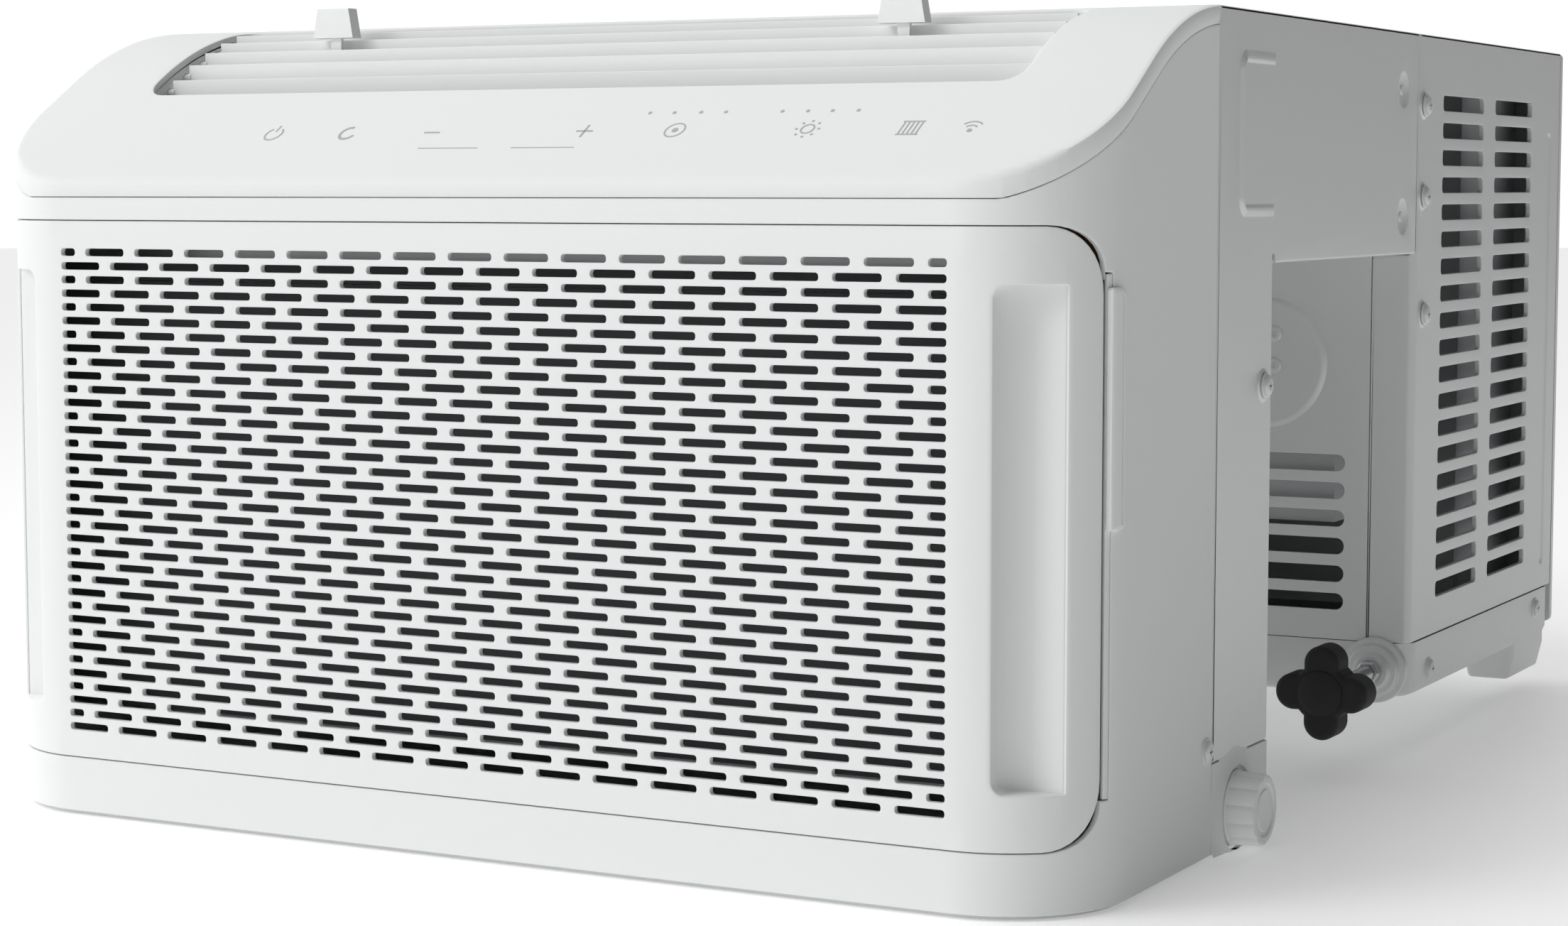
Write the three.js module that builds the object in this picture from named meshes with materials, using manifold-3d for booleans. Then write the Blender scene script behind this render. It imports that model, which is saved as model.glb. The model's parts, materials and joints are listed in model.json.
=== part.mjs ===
// Over-the-sill window air conditioner, in millimetres, +Z up.
// X runs across the width, Y runs from the room side to the outdoor side.
// The indoor section and the outdoor section hang either side of a window sill, joined by a flat bridge.
import * as THREE from "three";
import { mergeVertices } from "three/addons/utils/BufferGeometryUtils.js";
import Module from "manifold-3d";

const wasm = await Module();
wasm.setup();

// ---- Overall sizes ----
const WIDTH = 560; // across the cabinet
const HEIGHT = 366; // from the front casing's lower edge to the cabinet top
const DEPTH = 729; // front face to rear guard
const CASING_DEPTH = 152.5; // plastic front part
const INDOOR_DEPTH = 224; // front face to the sill gap
const SILL_GAP = 217; // room for the sill and wall
const BRIDGE_HEIGHT = 111; // bridge, from its underside to the cabinet top
const GAP = 0.3; // clearance between pieces that touch
const SEAM = 0.8; // visible seam between mouldings
const WALL = 2.8; // plastic wall
const SHEET = 1.2; // painted steel sheet
const DUCT_WALL = 2.5; // inner duct and shroud wall
const CUT = 6; // how far a cutting shape runs past what it cuts

// ---- Front mouldings ----
const CORNER_RADIUS = 55; // vertical front corners
const SLOPE = THREE.MathUtils.degToRad(32.5); // control panel slope
const CREST = THREE.MathUtils.degToRad(4); // slope left at the back of the top cover
const SLOPE_RUN = 78; // depth of the straight slope
const COVER_LIP = 7; // vertical band of the top cover
const COVER_SIDE_DROP = 8; // how far the cover's skirt runs down the sides
const GRILLE_TOP_DROP = 18; // slope edge to the top of the grille panel
const GRILLE_BOTTOM = 25.5;
const GRILLE_SIDE_DEPTH = 35; // how far the grille panel wraps along the side
const GRILLE_CORNER = 27;
const FIELD_HALF_WIDTH = 223; // slotted field
const FIELD_MARGIN = 13; // slotted field to the panel's edges
const SLOT_COLUMNS = 8;
const SLOT_ROWS = 12;
const SLOT_BAR = 8; // material left between slots
const POCKET_INNER_INSET = 38; // finger pocket, from the side
const POCKET_DEPTH = 20.7;
const POCKET_MARGIN = 22; // pocket to the grille panel's top and bottom
const POCKET_ROUND = 14;

// ---- Outlet ----
const OUTLET_HALF_WIDTH = 226;
const OUTLET_FRONT = 64.6;
const OUTLET_BACK = 143;
const OUTLET_CORNER = 10;
const DUCT_DROP = 76; // duct mouth's lower edge below the cabinet top
const VANE_COUNT = 5;
const VANE_FIRST = 83; // depth of the first vane
const VANE_PITCH = 12.4;
const VANE_DROP_FIRST = 4.7; // first vane's top below the cover surface
const VANE_DROP_STEP = 1.05;
const VANE_THICKNESS = 2;
const VANE_ABOVE_PIVOT = 6;
const VANE_BELOW_PIVOT = 9;
const PIN_RADIUS = 2;
const PIN_LENGTH = 3.6;
const BLADES_PER_SIDE = 4;
const BLADE_FIRST = 30;
const BLADE_PITCH = 58;
const BLADE_AXIS_Y = 90;
const BLADE_HEIGHT = 25.5;
const BLADE_FRONT = 6; // blade ahead of its pivot
const BLADE_TAIL = 28; // blade behind its pivot
const BLADE_THICKNESS = 1.6;
const RAIL_HEIGHT = 2.5;
const SLIDER_Y = 114;
const SLIDER_THICKNESS = 3;
const SLIDER_TRAVEL = 12;
const KNOB_X = 150;
const KNOB_HALF_WIDTH = 11.5;
const KNOB_TOP_HALF_WIDTH = 9;
const KNOB_HEIGHT = 14;
const KNOB_DEPTH = 7;

// ---- Inside the indoor section ----
const FILTER_THICKNESS = 3;
const FILTER_HALF_WIDTH = 262;
const FILTER_BORDER = 9;
const FILTER_END_INSET = 4; // filter frame's pull end to the cabinet side
const FILTER_MARGIN = 19; // filter to the grille panel's top and bottom
const TAB_HEIGHT = 97;
const TAB_DEPTH = 10;
const TAB_THICKNESS = 3;
const TAB_TOP_DROP = 25; // tab's top below the grille panel's top
const COIL_FRONT = 50;
const COIL_DEPTH = 22;
const COIL_INSET = 58; // evaporator coil to the cabinet side
const BEND_LENGTH = 9;
const BEND_ROWS = 8;
const BLOWER_CLEARANCE = 16; // wheel to the coil and to the rear wall
const BLOWER_DROP = 100; // wheel's axis below the duct mouth
const BLOWER_BLADES = 16;
const SHAFT_RADIUS = 5;
const SCROLL_GAP = 8; // wheel to scroll
const SCROLL_GROWTH = 16;
const SCROLL_HALF_WIDTH = 218;
const SCROLL_TOP_GAP = 2.5; // scroll's upper edge below the duct mouth
const BLOWER_MOTOR_LENGTH = 38;
const BLOWER_MOTOR_RADIUS = 38;
const PAN_FLOOR = 3;
const PAN_BELOW = 2; // pan below the casing's edge, the lowest point of the object
const PAN_HEIGHT = 22;
const EAR_HEIGHT = 40; // pan's side walls behind the casing

// ---- Drain ----
const DRAIN_SET_BACK = 27.5; // drain's centre behind the front casing
const DRAIN_Z = 16.6;
const CAP_RADIUS = 17.5;
const CAP_LENGTH = 15;
const CAP_WALL = 3;
const CAP_SIDES = 12;
const NIPPLE_RADIUS = 10;
const NIPPLE_BORE = 6.5;
const NIPPLE_LENGTH = 7;
const SEAL_THICKNESS = 2.4;

// ---- Outdoor section ----
const GUARD_DEPTH = 6.5; // rear guard
const GUARD_BOTTOM = 33;
const BASE_BOTTOM = 27;
const BASE_TOP = 55;
const BASE_FLOOR = 1.5;
const BASE_CORNER = 12;
const FOOT_BOTTOM = 8;
const FOOT_WIDTH = 30;
const FOOT_LENGTH = 72;
const FOOT_REAR = 8; // foot to the base's rear edge
const RETURN_FLANGE = 23; // side sheet's return round the front corner
const LOUVRE_ROWS = 19;
const LOUVRE_PITCH = 14.08;
const LOUVRE_HEIGHT = 8;
const LOUVRE_TOP_DROP = 34; // first row below the cabinet top
const LOUVRE_COLUMNS = [
  [44.5, 121],
  [143.6, 219.8],
]; // start and end of each column behind the sill gap
const WALL_SLOTS = 6;
const WALL_SLOT_PITCH = 14.4;
const WALL_SLOT_HEIGHT = 8.5;
const WALL_SLOT_LENGTH = 124;
const WALL_SLOT_INSET = 12.5; // slots to the wall's edge
const WALL_SLOT_FIRST = 20; // first slot above the base
const GUARD_ROWS = 18;
const GUARD_BORDER = 42;
const GUARD_BAR = 6;
const CONDENSER_DEPTH = 22;
const CONDENSER_HALF_WIDTH = 240;
const SHROUD_START = 141; // shroud's front plate behind the sill gap
const SHROUD_INSET = 18; // shroud to the cabinet side
const FAN_MARGIN = 26; // blade tips to the shroud's floor and roof
const FAN_WIDTH = 35;
const FAN_BLADES = 5;
const FAN_HUB = 34;
const FAN_MOTOR_RADIUS = 42;
const FAN_MOTOR_LENGTH = 52;
const COMPRESSOR_X = -170;
const COMPRESSOR_Y = 69; // behind the sill gap
const COMPRESSOR_RADIUS = 55;
const COMPRESSOR_HEADROOM = 96;
const COMPRESSOR_FOOT = 15;
const ACCUMULATOR_RADIUS = 23;
const BOX_WIDTH = 120;
const BOX_DEPTH = 76;
const BOX_INSET = 45; // electrics box to the cabinet side

// ---- Levelling screws ----
const SCREW_INSET = 18; // from the cabinet side
const SCREW_Z = 41;
const ROD_RADIUS = 4;
const ROD_LENGTH = 114;
const KNOB_RADIUS = 23.5;
const LOBE_RADIUS = 9;
const STAR_THICKNESS = 12;
const NUT_RADIUS = 7.5;
const NUT_HEIGHT = 6.5;
const BOSS_RADIUS = 17;
const BOSS_HEIGHT = 8;
const STAR_REACH = 92; // star's front face ahead of the outdoor wall

// ---- Refrigerant lines ----
const SUCTION_RADIUS = 5;
const LIQUID_RADIUS = 3;
const LINE_SPACING = 14; // between the two lines' centres

// ---- Values that follow from the sizes above ----
const halfWidth = WIDTH / 2;
const sillZ = HEIGHT - BRIDGE_HEIGHT;
const outdoorY = INDOOR_DEPTH + SILL_GAP;
const baseDepth = DEPTH - outdoorY - GUARD_DEPTH - GAP;
const crestRadius = (CASING_DEPTH - SLOPE_RUN) / (Math.sin(SLOPE) - Math.sin(CREST));
const slopeRise = SLOPE_RUN * Math.tan(SLOPE);
const coverFrontZ = HEIGHT - slopeRise - crestRadius * (Math.cos(CREST) - Math.cos(SLOPE));
const crestY = SLOPE_RUN + crestRadius * Math.sin(SLOPE);
const crestZ = coverFrontZ + slopeRise - crestRadius * Math.cos(SLOPE);
const seamZ = coverFrontZ - COVER_LIP;
const grilleTop = coverFrontZ - GRILLE_TOP_DROP;
const ductZ = HEIGHT - DUCT_DROP;
const coilHalf = halfWidth - COIL_INSET;
const coilBack = COIL_FRONT + COIL_DEPTH;
const drainY = CASING_DEPTH + DRAIN_SET_BACK;
const backWallY = INDOOR_DEPTH - SHEET - GAP;
const blowerY = (coilBack + backWallY) / 2;
const blowerRadius = (backWallY - coilBack) / 2 - SCROLL_GAP - BLOWER_CLEARANCE;
const blowerZ = ductZ - BLOWER_DROP;
const fanZ = (BASE_TOP + HEIGHT) / 2;
const fanRadius = (HEIGHT - BASE_TOP) / 2 - FAN_MARGIN;
const screwX = halfWidth - SCREW_INSET;

// ---- Solids and meshes ----
function solidOf(geometry) {
  const bare = geometry.index ? geometry.toNonIndexed() : geometry.clone();
  bare.deleteAttribute("normal");
  bare.deleteAttribute("uv");
  const merged = mergeVertices(bare, 1e-4);
  return new wasm.Manifold(
    new wasm.Mesh({
      numProp: 3,
      vertProperties: merged.attributes.position.array,
      triVerts: new Uint32Array(merged.index.array),
    }),
  );
}

function geometryOf(solid) {
  const mesh = solid.getMesh();
  const geometry = new THREE.BufferGeometry();
  geometry.setAttribute("position", new THREE.BufferAttribute(mesh.vertProperties, 3));
  geometry.setIndex(new THREE.BufferAttribute(mesh.triVerts, 1));
  geometry.computeVertexNormals();
  return geometry;
}

function join(solids) {
  return solids.reduce((whole, solid) => whole.add(solid));
}

// A box between two corners, given as ranges in X, Y and Z.
function block(x, y, z) {
  const size = [x, y, z].map(([low, high]) => Math.abs(high - low));
  const centre = [x, y, z].map(([low, high]) => (low + high) / 2);
  return solidOf(new THREE.BoxGeometry(...size).translate(...centre));
}

// Turns a shape drawn in the plane across an axis so that it is extruded along that axis.
// Across X the shape is drawn in Y and Z, across Y in X and Z, across Z in X and Y.
const AXIS_FRAMES = {
  x: new THREE.Matrix4().makeBasis(
    new THREE.Vector3(0, 1, 0),
    new THREE.Vector3(0, 0, 1),
    new THREE.Vector3(1, 0, 0),
  ),
  y: new THREE.Matrix4().makeBasis(
    new THREE.Vector3(1, 0, 0),
    new THREE.Vector3(0, 0, 1),
    new THREE.Vector3(0, -1, 0),
  ),
  z: new THREE.Matrix4(),
};

function prism(axis, shape, low, high, curveSegments = 5) {
  const geometry = new THREE.ExtrudeGeometry(shape, {
    depth: high - low,
    bevelEnabled: false,
    curveSegments,
  });
  geometry.translate(0, 0, axis === "y" ? -high : low);
  geometry.applyMatrix4(AXIS_FRAMES[axis]);
  return solidOf(geometry);
}

function polygon(points) {
  return new THREE.Shape(points.map(([a, b]) => new THREE.Vector2(a, b)));
}

// A round bar along an axis; its centre is given in the two other coordinates.
function drum(axis, radius, low, high, [a, b], sides = 24) {
  const outline = Array.from({ length: sides }, (_, i) => {
    const angle = (2 * Math.PI * (i + 0.5)) / sides;
    return [a + radius * Math.cos(angle), b + radius * Math.sin(angle)];
  });
  return prism(axis, polygon(outline), low, high);
}

function roundedRectangle([a0, a1], [b0, b1], radius) {
  const shape = new THREE.Shape();
  shape.moveTo(a0 + radius, b0);
  shape.lineTo(a1 - radius, b0);
  shape.absarc(a1 - radius, b0 + radius, radius, -Math.PI / 2, 0, false);
  shape.lineTo(a1, b1 - radius);
  shape.absarc(a1 - radius, b1 - radius, radius, 0, Math.PI / 2, false);
  shape.lineTo(a0 + radius, b1);
  shape.absarc(a0 + radius, b1 - radius, radius, Math.PI / 2, Math.PI, false);
  shape.lineTo(a0, b0 + radius);
  shape.absarc(a0 + radius, b0 + radius, radius, Math.PI, 1.5 * Math.PI, false);
  return shape;
}

// A sheet of even thickness that follows a line of points in the plane across X.
function ribbon(points, thickness, low, high) {
  const vectors = points.map(([a, b]) => new THREE.Vector2(a, b));
  const offsets = vectors.map((point, i) => {
    const before = vectors[Math.max(i - 1, 0)];
    const after = vectors[Math.min(i + 1, vectors.length - 1)];
    const along = after.clone().sub(before).normalize();
    return new THREE.Vector2(-along.y, along.x).multiplyScalar(thickness / 2);
  });
  const left = vectors.map((point, i) => point.clone().add(offsets[i]));
  const right = vectors.map((point, i) => point.clone().sub(offsets[i])).reverse();
  return prism("x", new THREE.Shape([...left, ...right]), low, high);
}

function finish(colour, roughness, metalness = 0) {
  return new THREE.MeshStandardMaterial({ color: colour, roughness, metalness });
}

const WHITE_PLASTIC = ["#e2e3e3", 0.45];
const VANE_PLASTIC = ["#f4f5f5", 0.4];
const PAINTED_STEEL = ["#d4d5d5", 0.42, 0.1];
const GREY_PLASTIC = ["#8d9091", 0.6];
const DARK_PLASTIC = ["#26282a", 0.6];
const BLACK_PLASTIC = ["#0d0d0e", 0.38];
const ALUMINIUM = ["#b9bcbe", 0.45, 0.8];
const COPPER = ["#b8734a", 0.4, 0.9];
const ZINC = ["#b5b7b8", 0.35, 0.9];
const BLACK_PAINT = ["#161718", 0.5, 0.2];
const FOAM = ["#e9e8e4", 0.95];
const RUBBER = ["#1d1e1e", 0.85];
const BOARD_GREEN = ["#1f4a34", 0.6];
const MESH_GREY = ["#3a3d3f", 0.9];

function addPart(group, name, solid, look, position = [0, 0, 0], rotation = [0, 0, 0]) {
  const mesh = new THREE.Mesh(geometryOf(solid), finish(...look));
  mesh.name = name;
  mesh.position.set(...position);
  mesh.rotation.set(...rotation);
  group.add(mesh);
  return mesh;
}

const airConditioner = new THREE.Group();
const indoor = new THREE.Group();
const bridge = new THREE.Group();
const outdoor = new THREE.Group();
outdoor.position.y = outdoorY;
airConditioner.add(indoor, bridge, outdoor);

// ---- Indoor section: the outer form of the front mouldings ----
// The outline seen from above, drawn in by an inset.
function planOutline(inset, back) {
  const half = halfWidth - inset;
  const radius = CORNER_RADIUS - inset;
  const shape = new THREE.Shape();
  shape.moveTo(-half, back);
  shape.lineTo(-half, CORNER_RADIUS);
  shape.absarc(-half + radius, CORNER_RADIUS, radius, Math.PI, 1.5 * Math.PI, false);
  shape.absarc(half - radius, CORNER_RADIUS, radius, 1.5 * Math.PI, 2 * Math.PI, false);
  shape.lineTo(half, back);
  return shape;
}

// The outline seen from the side: sloping control panel, then a round crest, drawn in by an inset.
function sideOutline(inset, front, bottom, ledge = -Infinity) {
  const radius = crestRadius - inset;
  const startY = crestY - radius * Math.sin(SLOPE);
  const startZ = crestZ + radius * Math.cos(SLOPE);
  const back = CASING_DEPTH + CUT;
  const frontZ = startZ - (startY - front) * Math.tan(SLOPE);
  const shape = new THREE.Shape();
  shape.moveTo(front, bottom);
  if (ledge > frontZ) {
    shape.lineTo(front, ledge);
    shape.lineTo(front + (ledge - frontZ) / Math.tan(SLOPE), ledge);
  } else {
    shape.lineTo(front, frontZ);
  }
  shape.lineTo(startY, startZ);
  shape.absarc(crestY, crestZ, radius, Math.PI / 2 + SLOPE, Math.PI / 2 + CREST, true);
  shape.lineTo(back, crestZ + radius * Math.cos(CREST));
  shape.lineTo(back, bottom);
  return shape;
}

// Height of the top cover's surface at a depth.
function coverHeight(y) {
  if (y < SLOPE_RUN) return coverFrontZ + y * Math.tan(SLOPE);
  return crestZ + Math.sqrt(crestRadius ** 2 - (y - crestY) ** 2);
}

function frontForm(inset, bottom, back) {
  const across = halfWidth + CUT;
  const plan = prism("z", planOutline(inset, back), bottom, HEIGHT + CUT, 6);
  const side = prism("x", sideOutline(inset, -CUT, bottom - CUT), -across, across, 6);
  return plan.intersect(side);
}

const frontSkin = frontForm(0, 0, CASING_DEPTH).subtract(frontForm(WALL, -CUT, CASING_DEPTH + CUT));

function belowCoverSeam(clearance) {
  const across = halfWidth + CUT;
  const outline = sideOutline(COVER_SIDE_DROP + clearance, -CUT, -CUT, seamZ - clearance);
  return prism("x", outline, -across, across, 6);
}

// The part of the skin that belongs to the removable grille panel.
function grilleRegion(clearance) {
  const across = halfWidth + CUT;
  const outline = roundedRectangle(
    [-GRILLE_SIDE_DEPTH, GRILLE_SIDE_DEPTH + clearance],
    [GRILLE_BOTTOM - clearance, grilleTop + clearance],
    GRILLE_CORNER,
  );
  return prism("x", outline, -across, across, 4);
}

const filterLow = GRILLE_BOTTOM + FILTER_MARGIN;
const filterHigh = grilleTop - FILTER_MARGIN;
const filterFront = GRILLE_SIDE_DEPTH + SEAM + 2 * GAP;

function frontCasing() {
  const filterSlot = block(
    [halfWidth / 2, halfWidth + CUT],
    [GRILLE_SIDE_DEPTH - 1, filterFront + FILTER_THICKNESS + 2 * GAP],
    [filterLow - 2 * GAP, filterHigh + 2 * GAP],
  );
  return frontSkin
    .intersect(belowCoverSeam(GAP))
    .subtract(grilleRegion(SEAM))
    .subtract(filterSlot);
}

// A finger pocket in one front corner, grown by a wall for its back.
function pocket(side, grow) {
  const inner = side * (halfWidth - POCKET_INNER_INSET - grow);
  const outer = side * (halfWidth + CUT);
  const round = side * (POCKET_ROUND + grow);
  const floorY = POCKET_DEPTH + grow;
  const shape = new THREE.Shape();
  shape.moveTo(inner, -CUT);
  shape.lineTo(inner, floorY - POCKET_ROUND);
  shape.quadraticCurveTo(inner, floorY, inner + round, floorY);
  shape.lineTo(outer, floorY);
  shape.lineTo(outer, -CUT);
  const low = GRILLE_BOTTOM + POCKET_MARGIN - grow;
  const high = grilleTop - POCKET_MARGIN + grow;
  return prism("z", shape, low, high, 5);
}

function frontGrille() {
  const form = frontForm(0, 0, CASING_DEPTH);
  let panel = frontSkin.intersect(grilleRegion(0));
  for (const side of [-1, 1]) {
    panel = panel.add(pocket(side, WALL).intersect(form)).subtract(pocket(side, 0));
  }
  const fieldLow = GRILLE_BOTTOM + FIELD_MARGIN;
  const fieldHigh = grilleTop - FIELD_MARGIN;
  const columnPitch = (2 * FIELD_HALF_WIDTH) / SLOT_COLUMNS;
  const rowPitch = (fieldHigh - fieldLow) / SLOT_ROWS;
  const slots = [];
  for (let column = 0; column < SLOT_COLUMNS; column += 1) {
    const x = -FIELD_HALF_WIDTH + column * columnPitch;
    for (let row = 0; row < SLOT_ROWS; row += 1) {
      const z = fieldLow + row * rowPitch;
      slots.push(
        block(
          [x + SLOT_BAR / 2, x + columnPitch - SLOT_BAR / 2],
          [-CUT, WALL + CUT],
          [z + SLOT_BAR / 2, z + rowPitch - SLOT_BAR / 2],
        ),
      );
    }
  }
  return slots.reduce((rest, slot) => rest.subtract(slot), panel);
}

function outletPlan(grow) {
  return roundedRectangle(
    [-OUTLET_HALF_WIDTH - grow, OUTLET_HALF_WIDTH + grow],
    [OUTLET_FRONT - grow, OUTLET_BACK + grow],
    OUTLET_CORNER + grow,
  );
}

function topCover() {
  const opening = prism("z", outletPlan(0), seamZ - CUT, HEIGHT + CUT, 3);
  return frontSkin.subtract(belowCoverSeam(0)).subtract(opening);
}

const vanes = Array.from({ length: VANE_COUNT }, (_, i) => {
  const y = VANE_FIRST + i * VANE_PITCH;
  const top = coverHeight(y) - (VANE_DROP_FIRST - i * VANE_DROP_STEP);
  return { y, z: top - VANE_ABOVE_PIVOT };
});

const bladeZ = ductZ + RAIL_HEIGHT + GAP;
const upperRailZ = bladeZ + BLADE_HEIGHT + GAP;
const sliderZ = upperRailZ + 1.5;

// Duct mouth under the outlet: four walls, pivot holes for the vanes and two rails for the blades.
function outletLiner() {
  const cheek = OUTLET_HALF_WIDTH + DUCT_WALL;
  const outer = prism("z", outletPlan(DUCT_WALL), ductZ, HEIGHT, 3);
  const inner = prism("z", outletPlan(0), ductZ - CUT, HEIGHT + CUT, 3);
  const roof = sideOutline(WALL + GAP, -CUT, 0);
  let liner = outer.subtract(inner);
  for (const z of [ductZ, upperRailZ]) {
    liner = liner.add(
      block([-cheek, cheek], [BLADE_AXIS_Y - 4, BLADE_AXIS_Y + 4], [z, z + RAIL_HEIGHT]),
    );
  }
  liner = liner.intersect(prism("x", roof, -cheek - CUT, cheek + CUT, 6));
  for (const vane of vanes) {
    const hole = drum("x", PIN_RADIUS + GAP, -cheek - CUT, cheek + CUT, [vane.y, vane.z], 12);
    liner = liner.subtract(hole);
  }
  for (const x of bladePlaces()) {
    const hole = drum("z", PIN_RADIUS / 2 + GAP, ductZ - CUT, upperRailZ + CUT, [x, BLADE_AXIS_Y], 8);
    liner = liner.subtract(hole);
  }
  return liner;
}

function bladePlaces() {
  const places = Array.from({ length: BLADES_PER_SIDE }, (_, i) => BLADE_FIRST + i * BLADE_PITCH);
  return [...places.map((x) => -x), ...places];
}

// A vane about its own pivot axis, with a pin at each end.
function outletVane() {
  const half = OUTLET_HALF_WIDTH - 2.5;
  const leaf = block(
    [-half, half],
    [-VANE_THICKNESS / 2, VANE_THICKNESS / 2],
    [-VANE_BELOW_PIVOT, VANE_ABOVE_PIVOT],
  );
  const pins = [-1, 1].map((side) =>
    drum(
      "x",
      PIN_RADIUS,
      Math.min(side * (half - 1), side * (half + PIN_LENGTH)),
      Math.max(side * (half - 1), side * (half + PIN_LENGTH)),
      [0, 0],
      12,
    ),
  );
  return join([leaf, ...pins]);
}

// A vertical deflector blade about its own pivot axis, resting above z = 0.
function deflectorBlade() {
  const leaf = block(
    [-BLADE_THICKNESS / 2, BLADE_THICKNESS / 2],
    [-BLADE_FRONT, BLADE_TAIL],
    [0, BLADE_HEIGHT],
  );
  const pin = drum("z", PIN_RADIUS / 2, -RAIL_HEIGHT, BLADE_HEIGHT + RAIL_HEIGHT, [0, 0], 8);
  return leaf.add(pin);
}

// The bar that swings one side's blades, with the stem and the knob that a finger pushes.
function deflectorSlider(side) {
  const near = side * (BLADE_FIRST - SLIDER_TRAVEL);
  const far = side * (OUTLET_HALF_WIDTH - SLIDER_TRAVEL - 2);
  const knobZ = coverHeight(SLIDER_Y);
  const low = SLIDER_Y - SLIDER_THICKNESS / 2;
  const high = SLIDER_Y + SLIDER_THICKNESS / 2;
  const bar = block([near, far], [low, high], [sliderZ, sliderZ + SLIDER_THICKNESS]);
  const stemX = side * KNOB_X;
  const stem = block(
    [stemX - SLIDER_THICKNESS, stemX + SLIDER_THICKNESS],
    [SLIDER_Y - 1, SLIDER_Y + 1],
    [sliderZ, knobZ + 3],
  );
  const knobOutline = polygon([
    [stemX - KNOB_HALF_WIDTH, knobZ + 1],
    [stemX + KNOB_HALF_WIDTH, knobZ + 1],
    [stemX + KNOB_TOP_HALF_WIDTH, knobZ + 1 + KNOB_HEIGHT],
    [stemX - KNOB_TOP_HALF_WIDTH, knobZ + 1 + KNOB_HEIGHT],
  ]);
  const knob = prism("y", knobOutline, SLIDER_Y - KNOB_DEPTH / 2, SLIDER_Y + KNOB_DEPTH / 2);
  return join([bar, stem, knob]);
}

// ---- Indoor section: filter, coil and blower ----
function filterFrame() {
  const tabX = halfWidth + GAP;
  const frameEnd = halfWidth - FILTER_END_INSET;
  const frame = block(
    [-FILTER_HALF_WIDTH, frameEnd],
    [filterFront, filterFront + FILTER_THICKNESS],
    [filterLow, filterHigh],
  );
  const window = block(
    [-FILTER_HALF_WIDTH + FILTER_BORDER, FILTER_HALF_WIDTH - FILTER_BORDER],
    [filterFront - CUT, filterFront + FILTER_THICKNESS + CUT],
    [filterLow + FILTER_BORDER, filterHigh - FILTER_BORDER],
  );
  const tabTop = grilleTop - TAB_TOP_DROP;
  const heights = [tabTop - TAB_HEIGHT, tabTop];
  const neck = block([frameEnd - 1, tabX + 1], [filterFront, filterFront + FILTER_THICKNESS], heights);
  const tab = block([tabX, tabX + TAB_THICKNESS], [filterFront, filterFront + TAB_DEPTH], heights);
  return join([frame.subtract(window), neck, tab]);
}

function filterMesh() {
  return block(
    [-FILTER_HALF_WIDTH + FILTER_BORDER + GAP, FILTER_HALF_WIDTH - FILTER_BORDER - GAP],
    [filterFront + 1, filterFront + FILTER_THICKNESS - 1],
    [filterLow + FILTER_BORDER + GAP, filterHigh - FILTER_BORDER - GAP],
  );
}

// A finned block with a row of tube bends standing out of both ends.
function finnedCoil(half, [front, back], [low, high], columns) {
  const core = block([-half, half], [front, back], [low, high]);
  const bends = [];
  for (const side of [-1, 1]) {
    for (let row = 0; row < BEND_ROWS; row += 1) {
      const z = low + ((row + 0.5) * (high - low)) / BEND_ROWS;
      for (let column = 0; column < columns; column += 1) {
        const y = front + ((column + 0.5) * (back - front)) / columns;
        const ends = [side * (half - 1), side * (half + BEND_LENGTH)].sort((a, b) => a - b);
        bends.push(drum("x", 3.5, ...ends, [y, z], 8));
      }
    }
  }
  return join([core, ...bends]);
}

function blowerWheel() {
  const half = SCROLL_HALF_WIDTH - SCROLL_GAP;
  const discs = [-1, -1 / 3, 1 / 3, 1].map((share) =>
    drum("x", blowerRadius, share * (half - 2) - 2, share * (half - 2) + 2, [0, 0], 32),
  );
  const shaft = drum("x", SHAFT_RADIUS, -half - 16, SCROLL_HALF_WIDTH + DUCT_WALL + 1, [0, 0], 16);
  const blades = Array.from({ length: BLOWER_BLADES }, (_, i) => {
    const blade = new THREE.BoxGeometry(2 * half - 4, 1.4, 12);
    blade.rotateX(0.5);
    blade.translate(0, 0, blowerRadius - 6.5);
    blade.rotateX((2 * Math.PI * i) / BLOWER_BLADES);
    return solidOf(blade);
  });
  return join([...discs, shaft, ...blades]);
}

function scrollLine() {
  const points = [];
  for (let degrees = -100; degrees <= 70; degrees += 17) {
    const angle = THREE.MathUtils.degToRad(degrees);
    const radius = blowerRadius + SCROLL_GAP + (Math.max(degrees, 0) / 70) * SCROLL_GROWTH;
    points.push([blowerY + radius * Math.cos(angle), blowerZ + radius * Math.sin(angle)]);
  }
  points.push([OUTLET_BACK, ductZ - SCROLL_TOP_GAP]);
  return points;
}

function blowerScroll() {
  const line = scrollLine();
  const tongue = [
    [OUTLET_FRONT, ductZ - SCROLL_TOP_GAP],
    [blowerY - blowerRadius, blowerZ + blowerRadius + 4 * SCROLL_GAP],
    [blowerY - blowerRadius + 8, blowerZ + blowerRadius + SCROLL_GAP],
  ];
  const half = SCROLL_HALF_WIDTH;
  const cheekOutline = polygon([...line, ...tongue]);
  const cheeks = [-half - DUCT_WALL, half].map((x) => prism("x", cheekOutline, x, x + DUCT_WALL));
  const bore = drum("x", SHAFT_RADIUS + 3, -half - CUT, half + CUT, [blowerY, blowerZ], 16);
  const walls = [line, tongue].map((points) =>
    ribbon(points, DUCT_WALL, -half - DUCT_WALL, half + DUCT_WALL),
  );
  return join([...cheeks, ...walls]).subtract(bore);
}

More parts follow.
